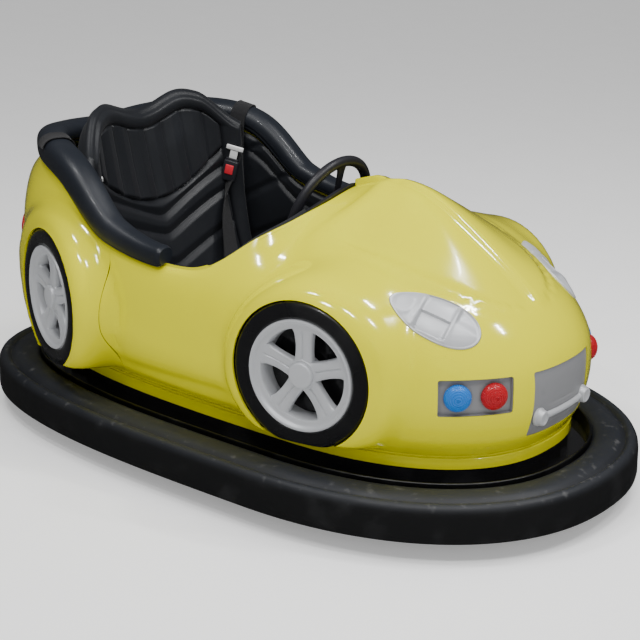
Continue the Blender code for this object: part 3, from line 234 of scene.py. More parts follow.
@dataclass(frozen=True)
class RingRubber(Finish):
    """Moulded rubber whose black wall turns to a lighter blue grey on its top as a painted highlight, and
    whose shoulder is scuffed.
    """

    # top: colour of the painted highlight on the ring's top, lighter than the black wall.
    top: tuple[float, float, float] = (0.016, 0.018, 0.023)
    scuff: tuple[float, float, float] = (0.07, 0.07, 0.072)
    top_height: tuple[float, float] = (0.128, 0.147)

    def _colour(
        self,
        tree: bpy.types.NodeTree,
        shader: bpy.types.Node,
        place: bpy.types.NodeSocket,
    ) -> None:
        """Colour the ring by height, with a painted highlight on its top and scuffs on its shoulder.

        Args:
            tree: The material's nodes.
            shader: The Principled shader.
            place: The coordinates that the colours read.
        """
        super()._colour(tree, shader, place)
        wall = shader.inputs["Base Color"].links[0].from_socket
        parts = tree.nodes.new("ShaderNodeSeparateXYZ")
        tree.links.new(place, parts.inputs["Vector"])
        # Painted highlight: the wall colour turns to the lighter top colour with height.
        rise = tree.nodes.new("ShaderNodeMapRange")
        rise.inputs["From Min"].default_value = self.top_height[0]
        rise.inputs["From Max"].default_value = self.top_height[1]
        tree.links.new(parts.outputs["Z"], rise.inputs["Value"])
        painted_top_highlight = tree.nodes.new("ShaderNodeMix")
        painted_top_highlight.data_type = "RGBA"
        painted_top_highlight.inputs["B"].default_value = (*self.top, 1.0)
        tree.links.new(rise.outputs["Result"], painted_top_highlight.inputs["Factor"])
        tree.links.new(wall, painted_top_highlight.inputs["A"])
        scuffs = tree.nodes.new("ShaderNodeMapRange")
        scuffs.inputs["From Min"].default_value = 0.60
        scuffs.inputs["From Max"].default_value = 0.74
        tree.links.new(self._noise(tree, place, 38.0, 8.0), scuffs.inputs["Value"])
        amount = tree.nodes.new("ShaderNodeMath")
        amount.operation = "MULTIPLY"
        tree.links.new(scuffs.outputs["Result"], amount.inputs[0])
        tree.links.new(rise.outputs["Result"], amount.inputs[1])
        marked = tree.nodes.new("ShaderNodeMix")
        marked.data_type = "RGBA"
        marked.inputs["B"].default_value = (*self.scuff, 1.0)
        tree.links.new(amount.outputs["Value"], marked.inputs["Factor"])
        tree.links.new(painted_top_highlight.outputs["Result"], marked.inputs["A"])
        tree.links.new(marked.outputs["Result"], shader.inputs["Base Color"])


GELCOAT = Finish(
    "yellow_gelcoat",
    (0.74, 0.70, 0.0),
    (0.70, 0.655, 0.0),
    (0.10, 0.16),
    Grain.ORANGE_PEEL,
    60.0,
    0.0001,
    3.0,
    coat=1.0,
)
SILVER = Finish(
    "silver_paint",
    (0.40, 0.42, 0.45),
    (0.34, 0.36, 0.39),
    (0.26, 0.36),
    Grain.CAST,
    500.0,
    0.00005,
    12.0,
    metallic=0.35,
    coat=0.3,
)
BAND_STEEL = Finish(
    "band_steel",
    (0.050, 0.050, 0.052),
    (0.11, 0.11, 0.11),
    (0.30, 0.50),
    Grain.BRUSHED,
    500.0,
    0.0001,
    10.0,
    metallic=1.0,
)
TRAY_GREY = Finish(
    "tray_grey",
    (0.21, 0.212, 0.22),
    (0.18, 0.182, 0.19),
    (0.34, 0.44),
    Grain.CAST,
    600.0,
    0.00005,
    14.0,
    coat=0.1,
)
RING_RUBBER = RingRubber(
    "ring_rubber",
    (0.006, 0.0063, 0.007),
    (0.014, 0.0145, 0.016),
    (0.42, 0.62),
    Grain.CAST,
    300.0,
    0.0003,
    9.0,
)
TYRE = Finish(
    "tyre_paint",
    (0.006, 0.006, 0.007),
    (0.012, 0.012, 0.013),
    (0.22, 0.34),
    Grain.CAST,
    250.0,
    0.0001,
    8.0,
    coat=0.5,
)
HIDE = Finish(
    "black_vinyl",
    (0.008, 0.0092, 0.012),
    (0.012, 0.0138, 0.018),
    (0.36, 0.48),
    Grain.HIDE,
    520.0,
    0.0004,
    5.0,
    sheen=0.05,
)
ROLL_HIDE = Finish(
    "roll_vinyl",
    (0.012, 0.0145, 0.020),
    (0.018, 0.021, 0.028),
    (0.32, 0.46),
    Grain.HIDE,
    520.0,
    0.0004,
    5.0,
    coat=0.1,
)
THREAD = Finish(
    "seat_thread",
    (0.006, 0.006, 0.007),
    (0.010, 0.010, 0.012),
    (0.60, 0.75),
    Grain.WEAVE,
    900.0,
    0.0001,
    20.0,
)
WEBBING = Finish(
    "belt_webbing",
    (0.006, 0.006, 0.007),
    (0.010, 0.010, 0.012),
    (0.70, 0.85),
    Grain.WEAVE,
    260.0,
    0.0006,
    20.0,
    sheen=0.1,
)
BLACK_PLASTIC = Finish(
    "black_plastic",
    (0.010, 0.010, 0.011),
    (0.016, 0.016, 0.018),
    (0.28, 0.40),
    Grain.CAST,
    450.0,
    0.0002,
    10.0,
)
RED_PLASTIC = Finish(
    "red_plastic",
    (0.60, 0.025, 0.04),
    (0.55, 0.02, 0.03),
    (0.30, 0.40),
    Grain.CAST,
    500.0,
    0.0001,
    10.0,
)
WHITE_METAL = Finish(
    "white_metal",
    (0.85, 0.85, 0.84),
    (0.78, 0.78, 0.77),
    (0.25, 0.35),
    Grain.BRUSHED,
    400.0,
    0.0001,
    8.0,
    metallic=0.2,
)
PAN_BLACK = Finish(
    "pan_black",
    (0.008, 0.008, 0.009),
    (0.018, 0.018, 0.020),
    (0.06, 0.20),
    Grain.CAST,
    45.0,
    0.0006,
    7.0,
    coat=0.8,
)
STEEL_BLACK = Finish(
    "steel_black",
    (0.011, 0.011, 0.012),
    (0.022, 0.021, 0.020),
    (0.35, 0.50),
    Grain.CAST,
    300.0,
    0.0002,
    9.0,
)
BRIGHT_STEEL = Finish(
    "bright_steel",
    (0.42, 0.43, 0.45),
    (0.24, 0.24, 0.25),
    (0.25, 0.42),
    Grain.BRUSHED,
    500.0,
    0.0001,
    10.0,
    metallic=1.0,
)
BLUE_LENS = Finish(
    "blue_lens",
    (0.004, 0.065, 0.26),
    (0.003, 0.045, 0.20),
    (0.05, 0.10),
    Grain.NONE,
    coat=1.0,
    transmission=0.25,
    glow=0.08,
)
RED_LENS = Finish(
    "red_lens",
    (0.060, 0.0015, 0.0025),
    (0.035, 0.001, 0.0015),
    (0.05, 0.10),
    Grain.NONE,
    coat=1.0,
    transmission=0.25,
)
MOTOR_GREY = Finish(
    "motor_grey",
    (0.09, 0.09, 0.10),
    (0.06, 0.06, 0.06),
    (0.40, 0.55),
    Grain.CAST,
    350.0,
    0.0002,
    11.0,
    metallic=0.3,
)
BATTERY_CASE = Finish(
    "battery_case",
    (0.045, 0.045, 0.05),
    (0.06, 0.06, 0.065),
    (0.45, 0.60),
    Grain.CAST,
    400.0,
    0.0002,
    10.0,
)
WHEEL_RUBBER = Finish(
    "wheel_rubber",
    (0.025, 0.025, 0.026),
    (0.06, 0.058, 0.055),
    (0.60, 0.80),
    Grain.CAST,
    350.0,
    0.0003,
    12.0,
)
FLOOR_WHITE = Finish(
    "pale_floor",
    (0.88, 0.88, 0.88),
    (0.87, 0.87, 0.87),
    (0.50, 0.60),
    Grain.NONE,
    glow=0.35,
)


# Mesh tools


def smooth(x: np.ndarray | float) -> np.ndarray:
    """0 below 0, 1 above 1, and a smooth step between."""
    x = np.clip(x, 0.0, 1.0)
    return x * x * (3 - 2 * x)


def ridge(x: np.ndarray | float, width: float) -> np.ndarray:
    """A rounded ridge of height 1 about x = 0."""
    return np.exp(-((np.asarray(x) / width) ** 2))


def new_object(
    name: str,
    data: bpy.types.Mesh | bpy.types.Curve,
    finish: Finish | None = None,
) -> bpy.types.Object:
    """Link an object to the scene.

    Args:
        name: Its name.
        data: Its mesh or curve.
        finish: The finish it is dressed in, if any.

    Returns:
        The object.
    """
    obj = bpy.data.objects.new(name, data)
    bpy.context.scene.collection.objects.link(obj)
    if finish is not None:
        data.materials.clear()
        data.materials.append(finish.material())
    return obj


def grid_mesh(
    name: str,
    grid: Grid,
    wrap_rows: bool,
    wrap_columns: bool,
    capped: bool = False,
) -> bpy.types.Mesh:
    """A mesh of quads over a grid of points, with its faces turned outwards.

    Args:
        name: The mesh's name.
        grid: Points as an array of rows, columns and coordinates.
        wrap_rows: Join the last row to the first.
        wrap_columns: Join the last column to the first.
        capped: Close the first and the last row with a face.

    Returns:
        The mesh, shaded smooth.
    """
    rows, columns = grid.shape[:2]
    row = np.arange(rows if wrap_rows else rows - 1)
    column = np.arange(columns if wrap_columns else columns - 1)
    i, j = np.meshgrid(row, column, indexing="ij")
    k, m = (i + 1) % rows, (j + 1) % columns
    faces = np.stack(
        [i * columns + j, i * columns + m, k * columns + m, k * columns + j],
        axis=-1,
    ).reshape(-1, 4)
    listed = faces.tolist()
    if capped:
        listed.append(list(range(columns)))
        listed.append([(rows - 1) * columns + c for c in reversed(range(columns))])
    mesh = bpy.data.meshes.new(name)
    mesh.from_pydata(grid.reshape(-1, 3).tolist(), [], listed)
    turn_outwards(mesh)
    return mesh


def turn_outwards(mesh: bpy.types.Mesh, angle: float = 40.0, merge: float = 1e-6) -> None:
    """Merge doubles, point the faces outwards and shade smooth up to an angle.

    Args:
        mesh: The mesh to tidy.
        angle: Edges sharper than this many degrees stay sharp.
        merge: Points nearer than this are one.
    """
    work = bmesh.new()
    work.from_mesh(mesh)
    bmesh.ops.remove_doubles(work, verts=work.verts, dist=merge)
    bmesh.ops.recalc_face_normals(work, faces=work.faces)
    work.to_mesh(mesh)
    work.free()
    mesh.shade_smooth()
    mesh.set_sharp_from_angle(angle=math.radians(angle))


def turned(name: str, profile: Sequence[tuple[float, float]], segments: int = 96) -> bpy.types.Mesh:
    """A solid turned about Z from a closed profile.

    Args:
        name: The mesh's name.
        profile: Closed list of radius and height.
        segments: Steps round the axis.

    Returns:
        The mesh.
    """
    angles = np.linspace(0, 2 * math.pi, segments, endpoint=False)
    section = np.array(profile)
    x = np.cos(angles)[:, None] * section[None, :, 0]
    y = np.sin(angles)[:, None] * section[None, :, 0]
    z = np.broadcast_to(section[None, :, 1], x.shape)
    return grid_mesh(name, np.stack([x, y, z], axis=-1), True, True)


def rounded_box(
    name: str,
    low: Sequence[float],
    high: Sequence[float],
    radius: float,
    segments: int = 3,
) -> bpy.types.Mesh:
    """A box with rounded edges.

    Args:
        name: The mesh's name.
        low: Lowest corner.
        high: Highest corner.
        radius: Radius of its edges.
        segments: Steps in each edge.

    Returns:
        The mesh.
    """
    work = bmesh.new()
    bmesh.ops.create_cube(work, size=1.0)
    size = Vector(high) - Vector(low)
    bmesh.ops.scale(work, vec=size, verts=work.verts)
    bmesh.ops.translate(work, vec=(Vector(low) + Vector(high)) / 2, verts=work.verts)
    bmesh.ops.bevel(work, geom=work.edges[:], offset=radius, segments=segments, profile=0.5, affect="EDGES")
    mesh = bpy.data.meshes.new(name)
    work.to_mesh(mesh)
    work.free()
    turn_outwards(mesh, 50.0)
    return mesh


def baked(obj: bpy.types.Object) -> bpy.types.Mesh:
    """The object's mesh with its modifiers applied."""
    bpy.context.view_layer.update()
    return bpy.data.meshes.new_from_object(obj.evaluated_get(bpy.context.evaluated_depsgraph_get()))


def applied(obj: bpy.types.Object) -> bpy.types.Object:
    """Apply the object's modifiers and hand it back."""
    made = baked(obj)
    obj.modifiers.clear()
    obj.data = made
    return obj


def cut(obj: bpy.types.Object, cutters: Iterable[bpy.types.Object]) -> None:
    """Cut closed shapes out of a solid and remove them.

    Args:
        obj: The solid.
        cutters: The shapes taken away.
    """
    cutters = list(cutters)
    for i, cutter in enumerate(cutters):
        modifier = obj.modifiers.new(f"cut_{i}", "BOOLEAN")
        modifier.operation = "DIFFERENCE"
        modifier.object = cutter
        modifier.solver = "EXACT"
    applied(obj)
    for cutter in cutters:
        bpy.data.objects.remove(cutter)


def joined(name: str, meshes: Sequence[bpy.types.Mesh]) -> bpy.types.Mesh:
    """Several meshes as one.

    Args:
        name: The new mesh's name.
        meshes: The meshes, which are removed.

    Returns:
        The mesh with all their faces.
    """
    work = bmesh.new()
    for mesh in meshes:
        work.from_mesh(mesh)
    made = bpy.data.meshes.new(name)
    work.to_mesh(made)
    work.free()
    for mesh in meshes:
        bpy.data.meshes.remove(mesh)
    made.shade_smooth()
    made.set_sharp_from_angle(angle=math.radians(40.0))
    return made


def axis_matrix(origin: Vector, axis: Vector, up: Vector = Vector((0, 0, 1))) -> Matrix:
    """Places local Z along an axis and local Y as near to up as it can be."""
    z = Vector(axis).normalized()
    x = up.cross(z).normalized()
    matrix = Matrix((x, z.cross(x), z)).transposed().to_4x4()
    matrix.translation = origin
    return matrix


def dress(node: str, finish: Finish) -> None:
    """Give a node of the frame its finish."""
    obj = FRAME["nodes"][node]
    obj.data.materials.clear()
    obj.data.materials.append(finish.material())


def place(obj: bpy.types.Object, body: str, slot: str, *nodes: str) -> bpy.types.Object:
    """Let a finished piece ride on a body in place of nodes of the frame.

    Args:
        obj: The piece.
        body: The body it rides on.
        slot: The record's material slot; not used.
        nodes: The nodes that it stands for.

    Returns:
        The piece.
    """
    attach(obj, body)
    if nodes:
        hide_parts(*nodes)
    LOG.info("%s: %d faces on %s", obj.name, len(obj.data.polygons), body)
    return obj


# Geometry Nodes trees


class NodeTree:
    """A Geometry Nodes tree with named inputs, built socket by socket."""

    def __init__(self, name: str) -> None:
        """Start an empty tree with a geometry going in and out."""
        self.tree = bpy.data.node_groups.new(name, "GeometryNodeTree")
        self.tree.interface.new_socket("Geometry", in_out="INPUT", socket_type="NodeSocketGeometry")
        self.tree.interface.new_socket("Geometry", in_out="OUTPUT", socket_type="NodeSocketGeometry")
        self.sockets: dict[str, str] = {}
        self.start = self.tree.nodes.new("NodeGroupInput")
        self.end = self.tree.nodes.new("NodeGroupOutput")

    def size(self, name: str, kind: str = "NodeSocketFloat") -> str:
        """Add a named input.

        Args:
            name: The input's name.
            kind: Its socket type.

        Returns:
            The input's name, for wiring.
        """
        self.sockets[name] = self.tree.interface.new_socket(
            name,
            in_out="INPUT",
            socket_type=kind,
        ).identifier
        return name

    def node(self, kind: str, mode: str = "", **inputs: object) -> bpy.types.Node:
        """Add a node and wire or set its inputs.

        Args:
            kind: The node's type.
            mode: The way it works, where it has more than one.
            inputs: Sockets to link from, or values, by the input's name with _ for a space.

        Returns:
            The node.
        """
        made = self.tree.nodes.new(kind)
        if mode:
            made.mode = mode
        for key, value in inputs.items():
            socket = made.inputs[key.replace("_", " ")]
            if isinstance(value, bpy.types.NodeSocket):
                self.tree.links.new(value, socket)
            else:
                socket.default_value = value
        return made

    def given(self, name: str) -> bpy.types.NodeSocket:
        """The output socket of a named input."""
        return self.start.outputs[name]

    def close(self, geometry: bpy.types.NodeSocket, finish: Finish) -> None:
        """Realise the instances, set the finish and end the tree.

        Args:
            geometry: What the tree has made.
            finish: The finish it is dressed in.
        """
        real = self.node("GeometryNodeRealizeInstances", Geometry=geometry)
        dressed = self.node("GeometryNodeSetMaterial", Geometry=real.outputs[0], Material=finish.material())
        shaded = self.node("GeometryNodeSetShadeSmooth", Geometry=dressed.outputs[0])
        self.tree.links.new(shaded.outputs[0], self.end.inputs[0])

    def run(self, name: str, carrier: bpy.types.Object, **values: object) -> bpy.types.Object:
        """Evaluate the tree on a carrier and keep the result as a plain mesh.

        Args:
            name: The new piece's name.
            carrier: The object whose geometry goes in, which is removed.
            values: The named inputs, with _ for a space.

        Returns:
            The finished object, at the origin.
        """
        modifier = carrier.modifiers.new("grow", "NODES")
        modifier.node_group = self.tree
        for key, value in values.items():
            modifier[self.sockets[key.replace("_", " ")]] = value
        mesh = baked(carrier)
        mesh.name = name
        bpy.data.objects.remove(carrier)
        return new_object(name, mesh)


def poly_curve(name: str, points: np.ndarray, cyclic: bool) -> bpy.types.Object:
    """A curve object of straight runs between points.

    Args:
        name: Its name.
        points: Its points in metres.
        cyclic: Whether it closes on itself.

    Returns:
        The object.
    """
    data = bpy.data.curves.new(name, "CURVE")
    data.dimensions = "3D"
    spline = data.splines.new("POLY")
    spline.points.add(len(points) - 1)
    for point, at in zip(spline.points, points):
        point.co = (*at, 1.0)
    spline.use_cyclic_u = cyclic
    return new_object(name, data)


def sweep_tree(finish: Finish) -> NodeTree:
    """A tree that carries a section along a path and leaves a closed moulding.

    Args:
        finish: The moulding's finish.

    Returns:
        The tree, whose input is the object that holds the section.
    """
    tree = NodeTree("swept_moulding")
    tree.size("Section", "NodeSocketObject")
    upright = tree.node("GeometryNodeSetCurveNormal", "Z_UP", Curve=tree.start.outputs[0])
    section = tree.node("GeometryNodeObjectInfo", Object=tree.given("Section"))
    moulding = tree.node(
        "GeometryNodeCurveToMesh", Curve=upright.outputs[0], Profile_Curve=section.outputs["Geometry"]
    )
    tree.close(moulding.outputs[0], finish)
    return tree


def stitch_tree(finish: Finish) -> NodeTree:
    """A tree that sews a seam with short raised stitches.

    Args:
        finish: The thread's finish.

    Returns:
        The tree, whose inputs are the stitch's pitch, length and thickness.
    """
    tree = NodeTree("seam_stitches")
    for name in ("Pitch", "Length", "Thickness"):
        tree.size(name)
    points = tree.node(
        "GeometryNodeCurveToPoints",
        "LENGTH",
        Curve=tree.start.outputs[0],
        Length=tree.given("Pitch"),
    )
    line = tree.node(
        "GeometryNodeMeshCylinder",
        Vertices=6,
        Radius=tree.given("Thickness"),
        Depth=tree.given("Length"),
    )
    sewn = tree.node(
        "GeometryNodeInstanceOnPoints",
        Points=points.outputs["Points"],
        Instance=line.outputs["Mesh"],
        Rotation=points.outputs["Rotation"],
    )
    tree.close(sewn.outputs[0], finish)
    return tree


def prism_tree(finish: Finish) -> NodeTree:
    """A tree that covers a lens with small pyramids that stand on its faces.

    Args:
        finish: The lens's finish.

    Returns:
        The tree, whose inputs are each prism's radius and height.
    """
    tree = NodeTree("lens_prisms")
    for name in ("Radius", "Height"):
        tree.size(name)
    points = tree.node("GeometryNodeMeshToPoints", "FACES", Mesh=tree.start.outputs[0])
    normal = tree.tree.nodes.new("GeometryNodeInputNormal")
    turn = tree.tree.nodes.new("FunctionNodeAlignRotationToVector")
    turn.axis = "Z"
    tree.tree.links.new(normal.outputs[0], turn.inputs["Vector"])
    cone = tree.node(
        "GeometryNodeMeshCone",
        Vertices=4,
        Radius_Bottom=tree.given("Radius"),
        Radius_Top=0.0,
        Depth=tree.given("Height"),
    )
    captured = tree.tree.nodes.new("GeometryNodeCaptureAttribute")
    captured.domain = "FACE"
    captured.capture_items.new("ROTATION", "Turn")
    tree.tree.links.new(tree.start.outputs[0], captured.inputs["Geometry"])
    tree.tree.links.new(turn.outputs["Rotation"], captured.inputs["Turn"])
    tree.tree.links.new(captured.outputs["Geometry"], points.inputs["Mesh"])
    prisms = tree.node(
        "GeometryNodeInstanceOnPoints",
        Points=points.outputs["Points"],
        Instance=cone.outputs["Mesh"],
        Rotation=captured.outputs["Turn"],
    )
    whole = tree.tree.nodes.new("GeometryNodeJoinGeometry")
    tree.tree.links.new(tree.start.outputs[0], whole.inputs[0])
    tree.tree.links.new(prisms.outputs[0], whole.inputs[0])
    tree.close(whole.outputs[0], finish)
    return tree


# Shape of the car in plan and section


@dataclass(frozen=True)
class Station:
    """The body's section at one bearing round the bumper."""

    bearing: float
    edge_bearing: float
    belly_inset: float
    belly_height: float
    rises: tuple[tuple[float, float], ...]
    edge_height: float


STATIONS = (
    Station(
        0,
        0,
        0.140,
        0.335,
        ((0.02, 0.440), (0.16, 0.545), (0.40, 0.665), (0.66, 0.765), (0.85, 0.778)),
        0.752,
    ),
    Station(
        18.5,
        7,
        0.136,
        0.340,
        ((0.02, 0.430), (0.13, 0.525), (0.34, 0.620), (0.62, 0.722), (0.84, 0.755)),
        0.748,
    ),
    Station(
        41,
        16,
        0.124,
        0.350,
        ((0.04, 0.455), (0.15, 0.535), (0.35, 0.615), (0.60, 0.672), (0.82, 0.722)),
        0.738,
    ),
    Station(
        62,
        27,
        0.110,
        0.350,
        ((0.03, 0.455), (0.12, 0.535), (0.28, 0.595), (0.55, 0.640), (0.80, 0.688)),
        0.722,
    ),
    Station(
        77,
        38,
        0.115,
        0.325,
        ((0.02, 0.410), (0.10, 0.490), (0.27, 0.555), (0.54, 0.605), (0.80, 0.655)),
        0.700,
    ),
    Station(
        90,
        53,
        0.118,
        0.315,
        ((0.03, 0.390), (0.12, 0.465), (0.30, 0.530), (0.56, 0.585), (0.82, 0.632)),
        0.662,
    ),
    Station(
        107,
        78,
        0.118,
        0.315,
        ((0.02, 0.380), (0.09, 0.450), (0.24, 0.510), (0.50, 0.545), (0.78, 0.560)),
        0.565,
    ),
    Station(
        129,
        117,
        0.108,
        0.345,
        ((0.02, 0.420), (0.08, 0.500), (0.22, 0.555), (0.48, 0.580), (0.78, 0.590)),
        0.592,
    ),
    Station(
        143,
        136,
        0.098,
        0.400,
        ((0.02, 0.500), (0.10, 0.590), (0.27, 0.660), (0.52, 0.700), (0.80, 0.718)),
        0.722,
    ),
    Station(
        155,
        151,
        0.092,
        0.420,
        ((0.03, 0.530), (0.13, 0.620), (0.31, 0.690), (0.56, 0.732), (0.82, 0.748)),
        0.750,
    ),
    Station(
        167,
        165,
        0.090,
        0.420,
        ((0.03, 0.530), (0.13, 0.618), (0.31, 0.685), (0.56, 0.725), (0.82, 0.740)),
        0.740,
    ),
    Station(
        180,
        180,
        0.090,
        0.420,
        ((0.03, 0.530), (0.13, 0.615), (0.31, 0.680), (0.56, 0.715), (0.82, 0.730)),
        0.730,
    ),
)


@dataclass(frozen=True)
class Superellipse:
    """A closed plan curve of two halves that meet at its widest section."""

    middle: float
    front: float
    rear: float
    half_width: float
    front_power: float
    rear_power: float

    def at(self, bearings: np.ndarray, inset: float | np.ndarray = 0.0) -> np.ndarray:
        """Points at bearings in degrees from straight ahead, with the half axes cut by an inset.

        Args:
            bearings: Bearings about the curve's own middle.
            inset: How much shorter each half axis is.

        Returns:
            Plan points, one for each bearing.
        """
        c, s = np.cos(np.radians(bearings)), np.sin(np.radians(bearings))
        length = np.where(c > 0, self.front, self.rear) - inset
        power = np.where(c > 0, self.front_power, self.rear_power)
        radius = (
            (np.abs(c) / length) ** power + (np.abs(s) / (self.half_width - inset)) ** power
        ) ** (-1 / power)
        return np.stack([self.middle + radius * c, radius * s], axis=-1)


@dataclass(frozen=True)
class SideWheel:
    """Place of a dummy road wheel: its axle's end on the left side, and how far it is toed."""

    word: str
    x: float
    y: float
    z: float
    turn: float

    def matrix(self, side: Side) -> Matrix:
        """Places local Z along the wheel's outward axis."""
        turn = math.radians(self.turn)
        axis = Vector((math.sin(turn), side.value * math.cos(turn), 0))
        return axis_matrix(Vector((self.x, side.value * self.y, self.z)), axis)


FRONT_WHEEL = SideWheel("front", 0.356, 0.456, 0.388, 8.9)
REAR_WHEEL = SideWheel("rear", -0.544, 0.444, 0.397, -21.9)


@dataclass(frozen=True)
class CarShape:
    """The rules that give the bumper's outline, the body's section and the cockpit's edge."""

    bumper: Superellipse = Superellipse(0.245, 0.730, 1.220, 0.560, 2.22, 3.09)
    cockpit: Superellipse = Superellipse(-0.130, 0.300, 0.620, 0.395, 3.0, 3.0)
    bearing_x: float = 0.12
    base: float = 0.165
    body_inset: float = 0.178
    flange_top: float = 0.195
    tyre_radius: float = 0.190
    flare_reach: float = 1.42

    def outline(self, bearings: np.ndarray, inset: float | np.ndarray) -> np.ndarray:
        """The bumper's outline moved squarely inwards, at bearings from the body's middle.

        Args:
            bearings: Bearings in degrees, left positive.
            inset: How far inwards.

        Returns:
            Plan points, one for each bearing.
        """
        wanted = np.abs(bearings)
        low, high = np.zeros_like(wanted), np.full_like(wanted, 180.0)
        for _ in range(34):
            middle = (low + high) / 2
            point = self.bumper.at(middle)
            short = np.degrees(np.arctan2(point[:, 1], point[:, 0] - self.bearing_x)) < wanted
            low, high = np.where(short, middle, low), np.where(short, high, middle)
        point = self.bumper.at((low + high) / 2)
        point[:, 1] = np.copysign(point[:, 1], bearings)
        x, y = point[:, 0] - self.bumper.middle, point[:, 1]
        length = np.where(x > 0, self.bumper.front, self.bumper.rear)
        power = np.where(x > 0, self.bumper.front_power, self.bumper.rear_power)
        half = self.bumper.half_width
        normal = np.stack([
            np.copysign((np.abs(x) / length) ** (power - 1) / length, x),
            np.copysign((np.abs(y) / half) ** (power - 1) / half, y),
        ], axis=-1)
        normal /= np.linalg.norm(normal, axis=-1, keepdims=True)
        return point - normal * np.reshape(inset, (-1, 1))

    def blended(
        self,
        bearings: np.ndarray,
        column: Callable[[Station], float],
        flat_ends: bool = True,
    ) -> np.ndarray:
        """A value of the stations at bearings from 0 to 180, by a cubic through the stations.

        Args:
            bearings: Bearings in degrees.
            column: Which value of a station is read.
            flat_ends: Whether the value is level at the nose and the tail.

        Returns:
            One value for each bearing.
        """
        keys = np.array([s.bearing for s in STATIONS], float)
        values = np.array([column(s) for s in STATIONS], float)
        slopes = np.gradient(values)
        slopes[1:-1] = (values[2:] - values[:-2]) / (keys[2:] - keys[:-2])
        slopes[0] = 0.0 if flat_ends else (values[1] - values[0]) / (keys[1] - keys[0])
        slopes[-1] = 0.0 if flat_ends else (values[-1] - values[-2]) / (keys[-1] - keys[-2])
        right = np.clip(np.searchsorted(keys, bearings), 1, len(keys) - 1)
        left = right - 1
        span = keys[right] - keys[left]
        t = (bearings - keys[left]) / span
        return (
            (2 * t**3 - 3 * t**2 + 1) * values[left]
            + (t**3 - 2 * t**2 + t) * span * slopes[left]
            + (3 * t**2 - 2 * t**3) * values[right]
            + (t**3 - t**2) * span * slopes[right]
        )

    def edge_point(self, bearings: np.ndarray, inset: float | np.ndarray = 0.0) -> np.ndarray:
        """Points of the cockpit's edge at bumper bearings from -180 to 180, with their height.

        Args:
            bearings: Bearings round the bumper, left positive.
            inset: How far inside the edge.

        Returns:
            Points in space.
        """
        at = np.abs(bearings)
        plan = self.cockpit.at(self.blended(at, lambda s: s.edge_bearing, False), inset)
        plan[:, 1] = np.copysign(plan[:, 1], bearings)
        height = self.blended(at, lambda s: s.edge_height)
        return np.concatenate([plan, height[:, None]], axis=-1)

    def controls(self, bearings: np.ndarray) -> Grid:
        """Control points of the body's outer face, from above its flange to the cockpit's edge.

        Args:
            bearings: Bearings from 0 to 180.

        Returns:
            An array of bearings, points and coordinates.
        """
        inset = self.blended(bearings, lambda s: s.belly_inset)
        height = self.blended(bearings, lambda s: s.belly_height)
        start = self.outline(bearings, self.body_inset - 0.001)
        lower = self.outline(bearings, self.body_inset + 0.62 * (inset - self.body_inset))
        belly = self.outline(bearings, inset)
        edge = self.edge_point(bearings)
        columns = [
            np.concatenate([start, np.full((len(bearings), 1), self.flange_top + 0.009)], axis=-1),
            np.concatenate(
                [lower, (self.flange_top + 0.40 * (height - self.flange_top))[:, None]],
                axis=-1,
            ),
            np.concatenate([belly, height[:, None]], axis=-1),
        ]
        for i in range(5):
            share = self.blended(bearings, lambda s, i=i: s.rises[i][0])[:, None]
            rise = self.blended(bearings, lambda s, i=i: s.rises[i][1])[:, None]
            columns.append(np.concatenate([belly + (edge[:, :2] - belly) * share, rise], axis=-1))
        columns.append(edge)
        return np.stack(columns, axis=1)

    def flared(self, points: np.ndarray) -> np.ndarray:
        """Body points pushed out to the plane of a side wheel that they are near.

        Args:
            points: Points of the left side.

        Returns:
            The points, moved.
        """
        result = points.copy()
        for wheel in (FRONT_WHEEL, REAR_WHEEL):
            along = points[..., 0] - wheel.x
            distance = np.hypot(along, points[..., 2] - wheel.z) / self.tyre_radius
            near = smooth((self.flare_reach - distance) / (self.flare_reach - 1.0))
            near = near * smooth((points[..., 2] - self.flange_top - 0.004) / 0.03)
            plane = wheel.y - math.tan(math.radians(wheel.turn)) * along
            result[..., 1] += near * np.maximum(0.0, plane - result[..., 1])
        return result


SHAPE = CarShape()


def spline_rows(points: Grid, steps: Sequence[int]) -> Grid:
    """Smooth curves through each row of control points.

    Args:
        points: Rows of control points.
        steps: Points made in each span.

    Returns:
        The denser rows.
    """
    chord = np.linalg.norm(np.diff(points, axis=1), axis=-1) ** 0.5
    t = np.concatenate([np.zeros((len(points), 1)), np.cumsum(chord, axis=1)], axis=1)[..., None]
    slope = np.empty_like(points)
    slope[:, 1:-1] = (points[:, 2:] - points[:, :-2]) / (t[:, 2:] - t[:, :-2])
    slope[:, 0] = (points[:, 1] - points[:, 0]) / (t[:, 1] - t[:, 0])
    slope[:, -1] = (points[:, -1] - points[:, -2]) / (t[:, -1] - t[:, -2])
    rows = []
    for i, count in enumerate(steps):
        h = t[:, i + 1] - t[:, i]
        last = i == len(steps) - 1
        for k in range(count + (1 if last else 0)):
            s = k / count
            rows.append(
                (2 * s**3 - 3 * s**2 + 1) * points[:, i]
                + (s**3 - 2 * s**2 + s) * h * slope[:, i]
                + (3 * s**2 - 2 * s**3) * points[:, i + 1]
                + (s**3 - s**2) * h * slope[:, i + 1]
            )
    return np.stack(rows, axis=1)


def grid_normals(grid: Grid, wrap_rows: bool = False) -> Grid:
    """Unit normals of a grid of points.

    Args:
        grid: The points.
        wrap_rows: Whether the rows close on themselves.

    Returns:
        A normal for each point.
    """
    if wrap_rows:
        along = np.roll(grid, -1, axis=0) - np.roll(grid, 1, axis=0)
    else:
        along = np.gradient(grid, axis=0)
    up = np.gradient(grid, axis=1)
    normal = np.cross(along, up)
    return normal / np.maximum(np.linalg.norm(normal, axis=-1, keepdims=True), 1e-12)


# Rubber ring and floor pan


